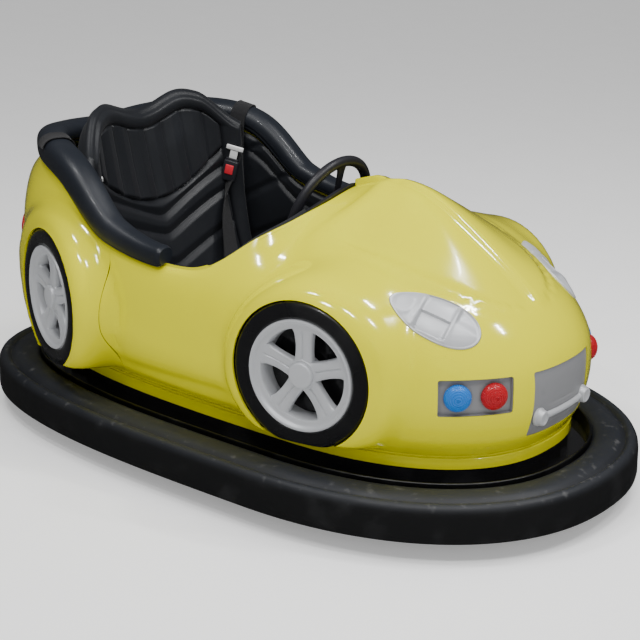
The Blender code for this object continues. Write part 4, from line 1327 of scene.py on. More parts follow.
@dataclass(frozen=True)
class RubberRing:
    """The grooved rubber ring round the car, with the bright band at its inner edge."""

    bottom: float = 0.050
    depth: float = 0.123
    band_wall: float = 0.006
    steps: int = 300

    def section(self) -> np.ndarray:
        """The ring's section as distances inwards and heights."""
        return np.array([
            (0.006, 0.050), (0.0015, 0.054), (0.000, 0.062), (0.0005, 0.090), (0.001, 0.118),
            (0.003, 0.131), (0.008, 0.1405), (0.014, 0.1455), (0.021, 0.1480), (0.026, 0.1478),
            (0.030, 0.1455), (0.033, 0.1410), (0.037, 0.1388), (0.041, 0.1400), (0.045, 0.1430),
            (0.052, 0.1472), (0.062, 0.1503), (0.075, 0.1518), (0.088, 0.1516), (0.100, 0.1498),
            (0.110, 0.1465), (0.118, 0.1420), (0.1225, 0.1360), (0.123, 0.1250), (0.123, 0.080),
            (0.121, 0.066), (0.112, 0.054), (0.100, 0.050),
        ])

    def path(self) -> np.ndarray:
        """The ring's outer line on the floor, anticlockwise."""
        bearings = np.linspace(-180, 180, self.steps, endpoint=False)
        plan = SHAPE.outline(bearings, 0.0)
        return np.concatenate([plan, np.zeros((self.steps, 1))], axis=-1)

    def swept(self, name: str, section: np.ndarray, finish: Finish) -> bpy.types.Object:
        """Carry a section round the car.

        Args:
            name: The piece's name.
            section: Distances inwards and heights.
            finish: Its finish.

        Returns:
            The finished piece.
        """
        turned_section = np.stack([-section[:, 0], -section[:, 1], np.zeros(len(section))], axis=-1)
        profile = poly_curve("section_line", turned_section, True)
        piece = sweep_tree(finish).run(name, poly_curve("path_line", self.path(), True), Section=profile)
        bpy.data.objects.remove(profile)
        turn_outwards(piece.data, 32.0)
        return piece

    def scuffed(self, piece: bpy.types.Object) -> None:
        """Dent the ring's shoulder and wall lightly at random places round it."""
        rng = np.random.default_rng(7)
        mesh = piece.data
        points = np.empty(len(mesh.vertices) * 3)
        mesh.vertices.foreach_get("co", points)
        points = points.reshape(-1, 3)
        outward = points[:, :2] / np.linalg.norm(points[:, :2], axis=1, keepdims=True)
        for _ in range(60):
            bearing = rng.uniform(-180, 180)
            centre = np.append(SHAPE.outline(np.array([bearing]), 0.004)[0], rng.uniform(0.07, 0.145))
            size = rng.uniform(0.008, 0.030)
            near = np.exp(-(np.linalg.norm(points - centre, axis=1) / size) ** 2)
            points[:, :2] -= outward * (near * rng.uniform(0.0004, 0.0012))[:, None]
        mesh.vertices.foreach_set("co", points.ravel())
        mesh.update()

    def build(self) -> None:
        """Build the ring and its band and dress the pan under them."""
        ring = self.swept("rubber_ring", self.section(), RING_RUBBER)
        self.scuffed(ring)
        place(ring, "car", "bumper_rubber", "bumper_ring")
        outer = self.depth + 0.0006
        inner = outer + self.band_wall
        band = np.array([
            (outer, 0.062), (outer, 0.1515), (outer + 0.0015, 0.153), (inner - 0.0015, 0.153),
            (inner, 0.1515), (inner, 0.062),
        ])
        place(self.swept("ring_band", band, BAND_STEEL), "car", "bright_steel", "bumper_band")
        dress("floor_pan", PAN_BLACK)
        dress("chassis_frame", STEEL_BLACK)
        dress("body_frame", PAN_BLACK)


# Gelcoat body


@dataclass(frozen=True)
class GelcoatBody:
    """The two moulded shells: flange, groove, sill ledge, wheel flares, hood tongue and visor band."""

    wall: float = 0.006
    seam: float = 129.0
    seam_gap: float = 0.06
    step: float = 1.25
    groove_depth: float = 0.007
    tongue_start: float = 0.300
    tongue_end: float = 0.742
    tongue_half_width: float = 0.222
    tongue_rise: float = 0.0055
    visor_reach: float = 0.085
    visor_rise: float = 0.0085
    ledge_height: float = 0.262
    ledge_rise: float = 0.007

    def outer_face(self, bearings: np.ndarray) -> Grid:
        """The body's outer face, from the foot of its flange over the cockpit's lip.

        Args:
            bearings: Bearings round the body, left positive, from -180 to 180.

        Returns:
            Rows of points, one row for each bearing.
        """
        at = np.abs(bearings)
        body = spline_rows(SHAPE.controls(at), (9, 9, 8, 8, 8, 7, 7, 6))
        body = SHAPE.flared(body)
        body = body + grid_normals(body) * self.relief(body)[..., None]
        foot = [
            (0.004, 0.165),
            (0.0, 0.1665),
            (0.0, 0.1935),
            (0.0015, 0.1950),
            (self.groove_depth, 0.1955),
            (self.groove_depth, 0.2000),
        ]
        rows = [
            np.concatenate([SHAPE.outline(at, SHAPE.body_inset + inset), np.full((len(at), 1), z)], axis=-1)
            for inset, z in foot
        ]
        edge = body[:, -1]
        back = body[:, -2] - edge
        back /= np.linalg.norm(back, axis=-1, keepdims=True)
        down = np.array([0.0, 0.0, -1.0])
        lip = [
            edge + back * 0.0055,
            edge + back * 0.0025 + down * 0.0006,
            edge + back * 0.0006 + down * 0.0022,
            edge + down * 0.0055,
            edge + down * 0.013,
        ]
        face = np.concatenate([np.stack(rows, axis=1), body[:, :-1], np.stack(lip, axis=1)], axis=1)
        face[..., 1] = face[..., 1] * np.where(bearings < 0, -1.0, 1.0)[:, None]
        return face

    def relief(self, body: Grid) -> np.ndarray:
        """Height of the moulded details above the plain body.

        Args:
            body: Points of the left side, before their details.

        Returns:
            A height along the normal for each point.
        """
        x, y, z = body[..., 0], body[..., 1], body[..., 2]
        height = np.zeros(body.shape[:2])
        ahead = (x - self.tongue_start) / (self.tongue_end - self.tongue_start)
        half = self.tongue_half_width * np.sqrt(np.clip(1 - np.clip(ahead, 0, 1) ** 2.4, 0, None))
        across = np.where(ahead < 1, half - y, -0.05) / 0.011
        on_top = smooth((z - 0.50) / 0.05) * smooth((x - 0.27) / 0.06)
        height += on_top * self.tongue_rise * smooth(across * 0.5 + 0.5)
        height -= on_top * 0.0022 * ridge(across + 1.2, 0.8)
        height += on_top * 0.0022 * ridge(across + 3.0, 1.2)
        reach = np.linalg.norm(body[..., :2] - body[:, -1:, :2], axis=-1)
        lean = smooth((x - 0.02) / 0.10) * smooth((0.30 - y) / 0.20)
        height += lean * self.visor_rise * smooth((self.visor_reach - reach) / 0.020 + 0.5)
        for wheel in (FRONT_WHEEL, REAR_WHEEL):
            distance = np.hypot(x - wheel.x, z - wheel.z)
            low = smooth((z - 0.215) / 0.03) * smooth((y - 0.25) / 0.08)
            height += low * 0.0035 * ridge(distance - SHAPE.tyre_radius - 0.010, 0.010)
            height -= low * 0.0040 * ridge(distance - SHAPE.tyre_radius - 0.040, 0.014)
            height += low * 0.0030 * ridge(distance - SHAPE.tyre_radius - 0.075, 0.018)
        between = smooth((x + 0.34) / 0.08) * smooth((0.15 - x) / 0.08) * smooth((y - 0.2) / 0.05)
        height += between * self.ledge_rise * ridge(z - self.ledge_height - 0.03 * (x + 0.1), 0.020)
        return height

    def wall_mesh(self, name: str, bearings: np.ndarray) -> bpy.types.Mesh:
        """A closed wall between the first and last bearing.

        Args:
            name: The mesh's name.
            bearings: Bearings that may run past 180.

        Returns:
            The closed mesh, in triangles.
        """
        turned_bearings = (bearings + 180) % 360 - 180
        outer = self.outer_face(turned_bearings)
        normals = grid_normals(outer)
        outward = outer[:, 20, :2] - np.array([SHAPE.bearing_x, 0.0])
        if float((normals[:, 20, :2] * outward).sum()) < 0:
            normals = -normals
        inner = outer - normals * self.wall
        lip = inner[:, -1].copy()
        inner[:, -5:] = lip[:, None] + np.linspace(0.006, 0.0, 5)[None, :, None] * np.array([0.0, 0.0, 1.0])
        inner[:, :6] = outer[:, :6] - self.flat_way(outer)[:, None] * (
            self.wall + np.array([0.0, 0.004, 0.004, 0.004, 0.0, 0.0])
        )[None, :, None]
        loop = np.concatenate([outer, inner[:, ::-1]], axis=1)
        rows, columns = loop.shape[:2]
        i, j = np.meshgrid(np.arange(rows - 1), np.arange(columns), indexing="ij")
        m = (j + 1) % columns
        faces = np.stack(
            [i * columns + j, i * columns + m, (i + 1) * columns + m, (i + 1) * columns + j],
            axis=-1,
        )
        listed = faces.reshape(-1, 4).tolist()
        for start in (0, (rows - 1) * columns):
            for j in range(columns // 2 - 1):
                listed.append([start + j, start + j + 1, start + columns - 2 - j, start + columns - 1 - j])
        mesh = bpy.data.meshes.new(name)
        mesh.from_pydata(loop.reshape(-1, 3).tolist(), [], listed)
        work = bmesh.new()
        work.from_mesh(mesh)
        bmesh.ops.recalc_face_normals(work, faces=work.faces)
        bmesh.ops.triangulate(work, faces=work.faces)
        work.to_mesh(mesh)
        work.free()
        return mesh

    def flat_way(self, outer: Grid) -> np.ndarray:
        """Outward level direction at the flange of each row."""
        along = np.gradient(outer[:, 1, :], axis=0)
        way = np.stack([along[:, 1], -along[:, 0], np.zeros(len(along))], axis=-1)
        way /= np.linalg.norm(way, axis=-1, keepdims=True)
        outward = outer[:, 1, :2] - np.array([SHAPE.bearing_x, 0.0])
        sign = np.sign((way[:, :2] * outward).sum(axis=-1))
        return way * sign[:, None]

    def surface(self) -> BVHTree:
        """The whole outer face, for placing what sits on it."""
        bearings = np.arange(-179.0, 180.0, 1.0)
        mesh = grid_mesh("face", self.outer_face(bearings), True, False)
        work = bmesh.new()
        work.from_mesh(mesh)
        bmesh.ops.triangulate(work, faces=work.faces)
        tree = BVHTree.FromBMesh(work)
        work.free()
        bpy.data.meshes.remove(mesh)
        return tree

    def arch(self, wheel: SideWheel, side: Side) -> bpy.types.Object:
        """A drum with a flat foot that opens the wheel arch.

        Args:
            wheel: The dummy wheel in the arch.
            side: Its side.

        Returns:
            The cutter.
        """
        work = bmesh.new()
        radius = SHAPE.tyre_radius + 0.0012
        bmesh.ops.create_cone(work, cap_ends=True, segments=120, radius1=radius, radius2=radius, depth=0.16)
        bmesh.ops.transform(work, matrix=wheel.matrix(side), verts=work.verts)
        sliced = bmesh.ops.bisect_plane(
            work, geom=work.verts[:] + work.edges[:] + work.faces[:], plane_co=(
                0,
                0,
                0.2130,
            ), plane_no=(0, 0, 1), clear_inner=True
        )
        bmesh.ops.holes_fill(
            work,
            edges=[e for e in sliced["geom_cut"] if isinstance(e, bmesh.types.BMEdge)],
        )
        bmesh.ops.recalc_face_normals(work, faces=work.faces)
        mesh = bpy.data.meshes.new("arch")
        work.to_mesh(mesh)
        work.free()
        return new_object(f"arch_{wheel.word}_{side.word}", mesh)

    def build(self, openings: dict[str, list[bpy.types.Object]]) -> None:
        """Build the front and rear shells with their openings.

        Args:
            openings: Cutters for the front and for the rear shell.
        """
        front_end = self.seam - self.seam_gap / 2
        rear_start = self.seam + self.seam_gap / 2
        count = round(2 * front_end / self.step)
        spans = {
            "front": np.linspace(-front_end, front_end, count + 1),
            "rear": np.linspace(
                rear_start,
                360 - rear_start,
                round((360 - 2 * rear_start) / self.step) + 1,
            ),
        }
        for word, wheel in (("front", FRONT_WHEEL), ("rear", REAR_WHEEL)):
            shell = new_object(f"{word}_body", self.wall_mesh(f"{word}_body", spans[word]), GELCOAT)
            cut(shell, openings[word] + [self.arch(wheel, side) for side in Side])
            turn_outwards(shell.data, 38.0, 1e-5)
            place(shell, "car", "gelcoat", f"{word}_shell")


# Lamps, plate and bar on the nose


@dataclass(frozen=True)
class FaceSpot:
    """A place on the body's face: a target point, and the way that local X runs, both on the left side."""

    target: tuple[float, float, float]
    along: tuple[float, float, float]

    def matrix(self, tree: BVHTree, side: Side) -> Matrix:
        """Local X, Y and Z on the face, with Z outwards.

        Args:
            tree: The body's outer face.
            side: The side that the spot is on.

        Returns:
            The spot's place.
        """
        flip = Vector((1, side.value, 1))
        point, normal, _, _ = tree.find_nearest(Vector(self.target) * flip)
        if normal.dot(point - Vector((0.1, 0.0, 0.35))) < 0:
            normal = -normal
        along = Vector(self.along) * flip
        x = (along - normal * normal.dot(along)).normalized()
        matrix = Matrix((x, normal.cross(x), normal)).transposed().to_4x4()
        matrix.translation = point
        return matrix


def face_height(tree: BVHTree, matrix: Matrix, x: float, y: float) -> float:
    """Height of the body's face above a spot's level plane."""
    start = matrix @ Vector((x, y, 0.15))
    way = -(matrix.to_3x3() @ Vector((0, 0, 1)))
    hit, _, _, _ = tree.ray_cast(start, way, 0.4)
    return 0.0 if hit is None else (matrix.inverted() @ hit).z


def fitted_pad(
    name: str,
    tree: BVHTree,
    matrix: Matrix,
    edge: np.ndarray,
    shares: np.ndarray,
    rule: HeightRule,
    sunk: float,
) -> bpy.types.Mesh:
    """A closed pad that follows the body's face inside an outline.

    Args:
        name: The mesh's name.
        tree: The body's outer face.
        matrix: The pad's place on the face.
        edge: Its outline in local X and Y.
        shares: Rings from the middle to the edge, as shares of the outline, the last one 1.
        rule: Height above the face from local x and y.
        sunk: Depth of its back under the face.

    Returns:
        The mesh.
    """
    plan = shares[:, None, None] * edge[None]
    level = np.empty(plan.shape[:2])
    for i in range(plan.shape[0]):
        for j in range(plan.shape[1]):
            level[i, j] = face_height(tree, matrix, *plan[i, j])
    top = np.concatenate([plan, (level + rule(plan[..., 0], plan[..., 1]))[..., None]], axis=-1)
    back = np.concatenate([edge, (level[-1] - sunk)[:, None]], axis=-1)
    hub_back = np.concatenate([edge * 0.02, np.full((len(edge), 1), level[0].mean() - sunk)], axis=-1)
    loops = np.concatenate([top, back[None], hub_back[None]], axis=0)
    mesh = grid_mesh(name, loops, False, True, capped=True)
    mesh.transform(matrix)
    turn_outwards(mesh, 34.0)
    return mesh


def almond(length: float, width: float, count: int = 96) -> np.ndarray:
    """Outline of a headlight: an ellipse that is fuller at its rear end."""
    angle = np.linspace(0, 2 * math.pi, count, endpoint=False)
    c, s = np.cos(angle), np.sin(angle)
    return np.stack([length / 2 * c, width / 2 * s * (1.0 - 0.18 * c)], axis=-1)


def rounded_rectangle(width: float, height: float, radius: float, per_side: int = 14) -> np.ndarray:
    """Outline of a rectangle with round corners, with points along its sides too."""
    points = []
    for quarter, (sx, sy) in enumerate(((1, 1), (-1, 1), (-1, -1), (1, -1))):
        for i in range(4):
            angle = math.pi / 2 * (quarter + i / 3)
            points.append(
                (
                    sx * (width / 2 - radius) + radius * math.cos(angle),
                    sy * (height / 2 - radius) + radius * math.sin(angle),
                )
            )
        nx, ny = ((-1, 1), (-1, -1), (1, -1), (1, 1))[quarter]
        angle = math.pi / 2 * (quarter + 1)
        start = Vector(points[-1])
        end = Vector(
            (
                nx * (width / 2 - radius) + radius * math.cos(angle),
                ny * (height / 2 - radius) + radius * math.sin(angle),
            )
        )
        points.extend(tuple(start.lerp(end, k / per_side)) for k in range(1, per_side))
    return np.array(points)


def opening(
    name: str,
    tree: BVHTree,
    matrix: Matrix,
    edge: np.ndarray,
    fit: float = 0.0006,
) -> bpy.types.Object:
    """A cutter for an outline on the body's face.

    Args:
        name: The cutter's name.
        tree: The body's outer face.
        matrix: The outline's place.
        edge: The outline.
        fit: How much wider than the outline it cuts.

    Returns:
        The cutter.
    """
    wider = edge * (1 + fit / np.linalg.norm(edge, axis=-1, keepdims=True))
    mesh = fitted_pad(
        name,
        tree,
        matrix,
        wider,
        np.array([0.02, 1.0]),
        lambda x,
        y: np.full(x.shape, 0.04),
        0.04,
    )
    return new_object(name, mesh)


@dataclass(frozen=True)
class Headlight:
    """A silver moulded headlight: a rear dome, a stepped recess and a front lobe in an almond outline."""

    spot: FaceSpot = FaceSpot((0.628, 0.275, 0.565), (-0.208, 0.078, 0.080))
    length: float = 0.238
    width: float = 0.118

    def relief(self, side: Side) -> HeightRule:
        """Height rule of the moulding for one side."""

        def rule(x: np.ndarray, y: np.ndarray) -> np.ndarray:
            """Height of the headlight's lobes, strip and pocket."""
            u = x / (self.length / 2)
            v = side.value * y / (self.width / 2)
            out = np.clip(1 - u**2 - (v / (1.0 - 0.18 * u)) ** 2, 0, 1)
            height = 0.0115 * np.sqrt(out) * 0.9
            inside = smooth((0.34 - u) / 0.05) * smooth((u + 0.36) / 0.05)
            strip = inside * smooth((v - 0.02) / 0.07) * smooth(out / 0.10)
            pocket = inside * smooth((0.06 - v) / 0.07) * smooth((v + 0.86) / 0.10) * smooth(out / 0.10)
            height -= 0.0050 * strip + 0.0100 * pocket
            height += 0.0028 * ridge(u - 0.39, 0.045) * smooth(out / 0.2)
            height += 0.0020 * smooth((u - 0.44) / 0.1) * smooth(
                (1 - np.hypot((u - 0.68) / 0.26, v / 0.62)) / 0.4
            )
            front = smooth((-0.40 - u) / 0.05)
            height -= front * 0.0060 * smooth((v + 0.05) / 0.5) * smooth(out / 0.2)
            height += 0.0018 * ridge(u + 0.39, 0.04) * smooth(out / 0.2)
            height += 0.0016 * smooth((0.10 - out) / 0.07)
            return height

        return rule

    def build(self, tree: BVHTree, side: Side) -> bpy.types.Object:
        """Build one headlight.

        Args:
            tree: The body's outer face.
            side: Its side.

        Returns:
            The cutter for its opening in the shell.
        """
        matrix = self.spot.matrix(tree, side)
        edge = almond(self.length, self.width)
        shares = np.concatenate([np.linspace(0.02, 0.97, 52), [0.985, 1.0]])
        mesh = fitted_pad(
            f"headlight_moulding_{side.word}",
            tree,
            matrix,
            edge,
            shares,
            self.relief(side),
            0.012,
        )
        piece = new_object(mesh.name, mesh, SILVER)
        place(piece, "car", "silver_paint", f"headlight_{side.word}")
        return opening(f"headlight_hole_{side.word}", tree, matrix, edge)


@dataclass(frozen=True)
class LampTray:
    """A grey tray sunk in the nose, with an outer blue lamp and an inner red one."""

    spot: FaceSpot = FaceSpot((0.750, 0.268, 0.370), (0.72, -0.69, 0.0))
    width: float = 0.186
    height: float = 0.090
    recess: float = 0.010
    spacing: float = 0.092
    lamp_radius: float = 0.033
    lamp_height: float = 0.026

    def lens(self, name: str, finish: Finish, matrix: Matrix) -> bpy.types.Object:
        """A domed lens with moulded prisms.

        Args:
            name: The piece's name.
            finish: Its coloured finish.
            matrix: Its place.

        Returns:
            The piece.
        """
        rings = 9
        angles = np.linspace(0, math.pi / 2 * 0.97, rings)
        profile = [
            (
                self.lamp_radius * math.cos(a),
                0.004 + (self.lamp_height - 0.004) * math.sin(a),
            ) for a in angles
        ]
        profile = [(0.0005, 0.0), (self.lamp_radius, 0.0), *profile, (0.0005, self.lamp_height)]
        carrier = new_object(f"{name}_dome", turned(f"{name}_dome", profile, 40))
        piece = prism_tree(finish).run(name, carrier, Radius=0.0020, Height=0.0018)
        piece.data.transform(matrix)
        return piece

    def build(self, tree: BVHTree, side: Side) -> bpy.types.Object:
        """Build one tray and its two lamps.

        Args:
            tree: The body's outer face.
            side: Its side.

        Returns:
            The cutter for its opening in the shell.
        """
        matrix = self.spot.matrix(tree, side)
        edge = rounded_rectangle(self.width, self.height, 0.006)

        def floor(x: np.ndarray, y: np.ndarray) -> np.ndarray:
            """Depth of the tray, which drops inside its rim."""
            share = np.maximum(np.abs(x) / (self.width / 2), np.abs(y) / (self.height / 2))
            depth = -self.recess * smooth((0.985 - share) / 0.03) - 0.0015
            for offset in (-1, 1):
                away = np.hypot(x - offset * self.spacing / 2, y)
                depth = depth - 0.0012 * smooth((self.lamp_radius + 0.005 - away) / 0.002)
            return depth

        shares = np.concatenate([np.linspace(0.02, 0.94, 38), [0.955, 0.965, 0.975, 0.985, 1.0]])
        mesh = fitted_pad(f"lamp_tray_{side.word}", tree, matrix, edge, shares, floor, self.recess + 0.006)
        place(new_object(mesh.name, mesh, TRAY_GREY), "car", "silver_paint", f"lamp_panel_{side.word}")
        for offset, word, finish in ((-1, "blue", BLUE_LENS), (1, "red", RED_LENS)):
            x = offset * self.spacing / 2
            here = matrix @ Vector((x, 0, face_height(tree, matrix, x, 0)))
            spot = FaceSpot(tuple(here * Vector((1, side.value, 1))), self.spot.along)
            seat = spot.matrix(tree, side) @ Matrix.Translation((0, 0, 0.0005 - self.recess - 0.0015))
            piece = self.lens(f"{word}_lens_{side.word}", finish, seat)
            place(piece, "car", f"{word}_lens", f"{word}_lamp_{side.word}")
        return opening(f"tray_hole_{side.word}", tree, matrix, edge)


@dataclass(frozen=True)
class TailLamp:
    """A red almond lamp at each rear corner."""

    spot: FaceSpot = FaceSpot((-0.860, 0.255, 0.520), (-0.3, 0.95, 0.0))
    length: float = 0.150
    width: float = 0.070

    def build(self, tree: BVHTree, side: Side) -> bpy.types.Object:
        """Build one tail lamp.

        Args:
            tree: The body's outer face.
            side: Its side.

        Returns:
            The cutter for its opening in the shell.
        """
        matrix = self.spot.matrix(tree, side)
        edge = almond(self.length, self.width, 72)

        def rule(x: np.ndarray, y: np.ndarray) -> np.ndarray:
            """Height of the ribbed tail lens."""
            out = np.clip(1 - (x * 2 / self.length) ** 2 - (y * 2 / self.width) ** 2, 0, 1)
            return 0.009 * np.sqrt(out) + 0.0007 * np.abs(np.sin(x * math.pi / 0.006))

        mesh = fitted_pad(
            f"tail_lens_{side.word}",
            tree,
            matrix,
            edge,
            np.linspace(0.02, 1.0, 26),
            rule,
            0.012,
        )
        place(new_object(mesh.name, mesh, RED_LENS), "car", "red_lens", f"tail_lamp_{side.word}")
        return opening(f"tail_hole_{side.word}", tree, matrix, edge)


@dataclass(frozen=True)
class NosePlate:
    """The grey plate on the nose with a moulded bar between two round studs."""

    spot: FaceSpot = FaceSpot((0.830, 0.0, 0.325), (0.0, 1.0, 0.0))
    width: float = 0.250
    height: float = 0.170
    bar_reach: float = 0.100
    bar_drop: float = -0.035
    stud_radius: float = 0.0195

    def build(self, tree: BVHTree) -> bpy.types.Object:
        """Build the plate, the bar and the studs.

        Args:
            tree: The body's outer face.

        Returns:
            The cutter for the plate's opening in the shell.
        """
        matrix = self.spot.matrix(tree, Side.LEFT)
        edge = rounded_rectangle(self.width, self.height, 0.006)

        def rule(x: np.ndarray, y: np.ndarray) -> np.ndarray:
            """Depth of the plate, with the shelf and groove at its bar."""
            depth = np.full(x.shape, -0.004)
            shelf = smooth((self.bar_drop + 0.027 - y) / 0.004)
            groove = ridge(np.abs(y - self.bar_drop) - 0.024, 0.0025)
            return depth + 0.0020 * shelf - 0.0014 * groove

        shares = np.concatenate([np.linspace(0.02, 0.98, 60), [1.0]])
        mesh = fitted_pad("nose_panel", tree, matrix, edge, shares, rule, 0.012)
        place(new_object("nose_panel", mesh, TRAY_GREY), "car", "silver_paint", "nose_plate")
        across = np.linspace(-self.bar_reach, self.bar_reach, 40)
        angle = np.linspace(0, 2 * math.pi, 20, endpoint=False)
        lift = np.array([face_height(tree, matrix, x, self.bar_drop) for x in across]) - 0.0030
        bar = np.stack([
            np.stack(
                [
                    np.full(20, x),
                    self.bar_drop + 0.0085 * np.cos(angle),
                    lift[i] + 0.0050 + 0.0065 * np.sin(angle),
                ],
                axis=-1,
            )
            for i, x in enumerate(across)
        ])
        meshes = [grid_mesh("bar", bar, False, True, capped=True)]
        for end in (-1, 1):
            x = end * self.bar_reach
            base = face_height(tree, matrix, x, self.bar_drop)
            r = self.stud_radius
            stud = turned("stud", [
                (0.0005, -0.004), (r + 0.004, -0.004), (r + 0.004, 0.002), (r + 0.001, 0.005), (r, 0.014),
                (r - 0.002, 0.0165),
                (r - 0.005, 0.0170), (r - 0.007, 0.0155), (0.006, 0.0150), (0.0005, 0.0150),
            ], 56)
            stud.transform(Matrix.Translation((x, self.bar_drop, base)))
            meshes.append(stud)
        whole = joined("nose_bar_moulding", meshes)
        whole.transform(matrix)
        place(new_object("nose_bar_moulding", whole, SILVER), "car", "silver_paint", "nose_bar")
        return opening("plate_hole", tree, matrix, edge)


# Dummy road wheels


@dataclass(frozen=True)
class DummyWheel:
    """A fixed side wheel: a black tyre with a flat foot and a silver cover of five grooved spokes."""

    tyre_radius: float = 0.190
    cover_radius: float = 0.144
    depth: float = 0.070
    foot: float = 0.2143
    window_radius: float = 0.1165
    cap_radius: float = 0.0325
    spokes: int = 5

    def tyre(self, matrix: Matrix, name: str) -> bpy.types.Mesh:
        """The tyre, flattened at its foot.

        Args:
            matrix: The wheel's place.
            name: The mesh's name.

        Returns:
            The mesh.
        """
        r, c, back = self.tyre_radius, self.cover_radius, -self.depth
        mesh = turned(name, [
            (0.012, back), (r - 0.004, back), (r, back + 0.006), (r, -0.020), (r - 0.0012, -0.012),
            (r - 0.0045, -0.0055),
            (r - 0.0095, -0.0015), (r - 0.016, 0.0006), (r - 0.026, 0.0012), (r - 0.036, 0.0002),
            (c + 0.004, -0.0020),
            (c + 0.0012, -0.0045), (c, -0.008), (c, back + 0.006), (0.012, back + 0.006),
        ], 144)
        mesh.transform(matrix)
        work = bmesh.new()
        work.from_mesh(mesh)
        sliced = bmesh.ops.bisect_plane(
            work, geom=work.verts[:] + work.edges[:] + work.faces[:], plane_co=(
                0,
                0,
                self.foot,
            ), plane_no=(0, 0, 1), clear_inner=True
        )
        bmesh.ops.holes_fill(
            work,
            edges=[e for e in sliced["geom_cut"] if isinstance(e, bmesh.types.BMEdge)],
        )
        work.to_mesh(mesh)
        work.free()
        turn_outwards(mesh, 45.0)
        return mesh

    def spoke(self, turn: float) -> bpy.types.Mesh:
        """One spoke: a crowned bar with a groove down its middle, wider at both ends.

        Args:
            turn: Its direction about the axis, in degrees.

        Returns:
            The mesh.
        """
        along = np.linspace(0.016, self.window_radius + 0.006, 26)
        share = (along - along[0]) / (along[-1] - along[0])
        half = 0.0225 + 0.0055 * np.abs(2 * share - 0.85) ** 2 + 0.006 * smooth((share - 0.8) / 0.2)
        across = np.array(
            [-1.0, -0.97, -0.85, -0.6, -0.30, -0.13, -0.07, 0.0, 0.07, 0.13, 0.30, 0.6, 0.85, 0.97, 1.0]
        )
        crown = np.array(
            [
                -0.0130,
                -0.0058,
                -0.0022,
                -0.0006,
                0.0,
                -0.0003,
                -0.0026,
                -0.0036,
                -0.0026,
                -0.0003,
                0.0,
                -0.0006,
                -0.0022,
                -0.0058,
                -0.0130,
            ]
        )
        rise = -0.0100 - 0.0060 * np.sin(math.pi * np.clip(share * 1.05, 0, 1)) - 0.0020 * share
        groove = 1 - smooth((share - 0.86) / 0.1)
        front = np.empty((len(along), len(across), 3))
        front[..., 0] = along[:, None]
        front[..., 1] = half[:, None] * across[None]
        dip = np.where(np.abs(across) < 0.1, crown, 0.0)
        front[..., 2] = rise[:, None] + (crown - dip)[None] + dip[None] * groove[:, None]
        back = front[:, ::-1].copy()
        back[..., 2] = -0.036
        mesh = grid_mesh("spoke", np.concatenate([front, back], axis=1), False, True, capped=True)
        mesh.transform(Matrix.Rotation(math.radians(turn), 4, "Z"))
        return mesh

    def cover(self, matrix: Matrix, name: str) -> bpy.types.Mesh:
        """The silver cover: a stepped rim, the spokes, the hub and its flat cap.

        Args:
            matrix: The wheel's place.
            name: The mesh's name.

        Returns:
            The mesh.
        """
        outer, window, back = self.cover_radius - 0.0003, self.window_radius, -self.depth + 0.0063
        rim = turned("rim", [
            (outer, back), (outer, -0.0040), (outer - 0.0015, -0.0005), (outer - 0.0045, 0.0008),
            (outer - 0.0075, 0.0),
            (outer - 0.0100, -0.0030), (outer - 0.0115, -0.0072), (outer - 0.0145, -0.0100),
            (outer - 0.0190, -0.0112),
            (window + 0.0035, -0.0120), (window + 0.0012, -0.0130), (window, -0.0160),
            (window - 0.002, -0.034), (window - 0.002, back),
        ], 160)
        cap = self.cap_radius
        hub = turned("hub", [
            (0.0004, -0.050), (cap + 0.008, -0.050), (cap + 0.0075, -0.0180), (cap + 0.0050, -0.0135),
            (cap + 0.0022, -0.0122),
            (cap + 0.0010, -0.0125), (cap, -0.0060), (cap - 0.0012, -0.0035), (cap - 0.0035, -0.0024),
            (cap - 0.0055, -0.0022), (0.0004, -0.0018),
        ], 72)
        meshes = [rim, hub, *(self.spoke(90 + 360 * i / self.spokes) for i in range(self.spokes))]
        whole = joined(name, meshes)
        whole.transform(matrix)
        return whole

    def build(self) -> None:
        """Build the four side wheels."""
        for wheel in (FRONT_WHEEL, REAR_WHEEL):
            for side in Side:
                word = f"{wheel.word}_{side.word}"
                matrix = wheel.matrix(side)
                tyre = new_object(f"side_tyre_{word}", self.tyre(matrix, f"side_tyre_{word}"), TYRE)
                place(tyre, "car", "tyre_rubber", f"dummy_tyre_{word}")
                cover = new_object(
                    f"spoked_cover_{word}",
                    self.cover(matrix, f"spoked_cover_{word}"),
                    SILVER,
                )
                place(cover, "car", "silver_paint", f"wheel_cover_{word}")


# Padded cockpit


def rim_frame(bearings: np.ndarray, inset: float = 0.0) -> tuple[np.ndarray, np.ndarray, np.ndarray]:
    """The cockpit's edge with its outward and forward ways.

    Args:
        bearings: Bumper bearings from 0 to 360.
        inset: How far inside the edge.

    Returns:
        Edge points, outward ways and ways along the edge.
    """

    def edge(at: np.ndarray) -> np.ndarray:
        """Edge points at bearings of any turn."""
        return SHAPE.edge_point((at + 180) % 360 - 180, inset)

    ahead = edge(bearings + 1) - edge(bearings - 1)
    ahead /= np.linalg.norm(ahead, axis=-1, keepdims=True)
    out = np.cross(ahead, np.array([0.0, 0.0, 1.0]))
    out /= np.linalg.norm(out, axis=-1, keepdims=True)
    return edge(bearings), out, ahead


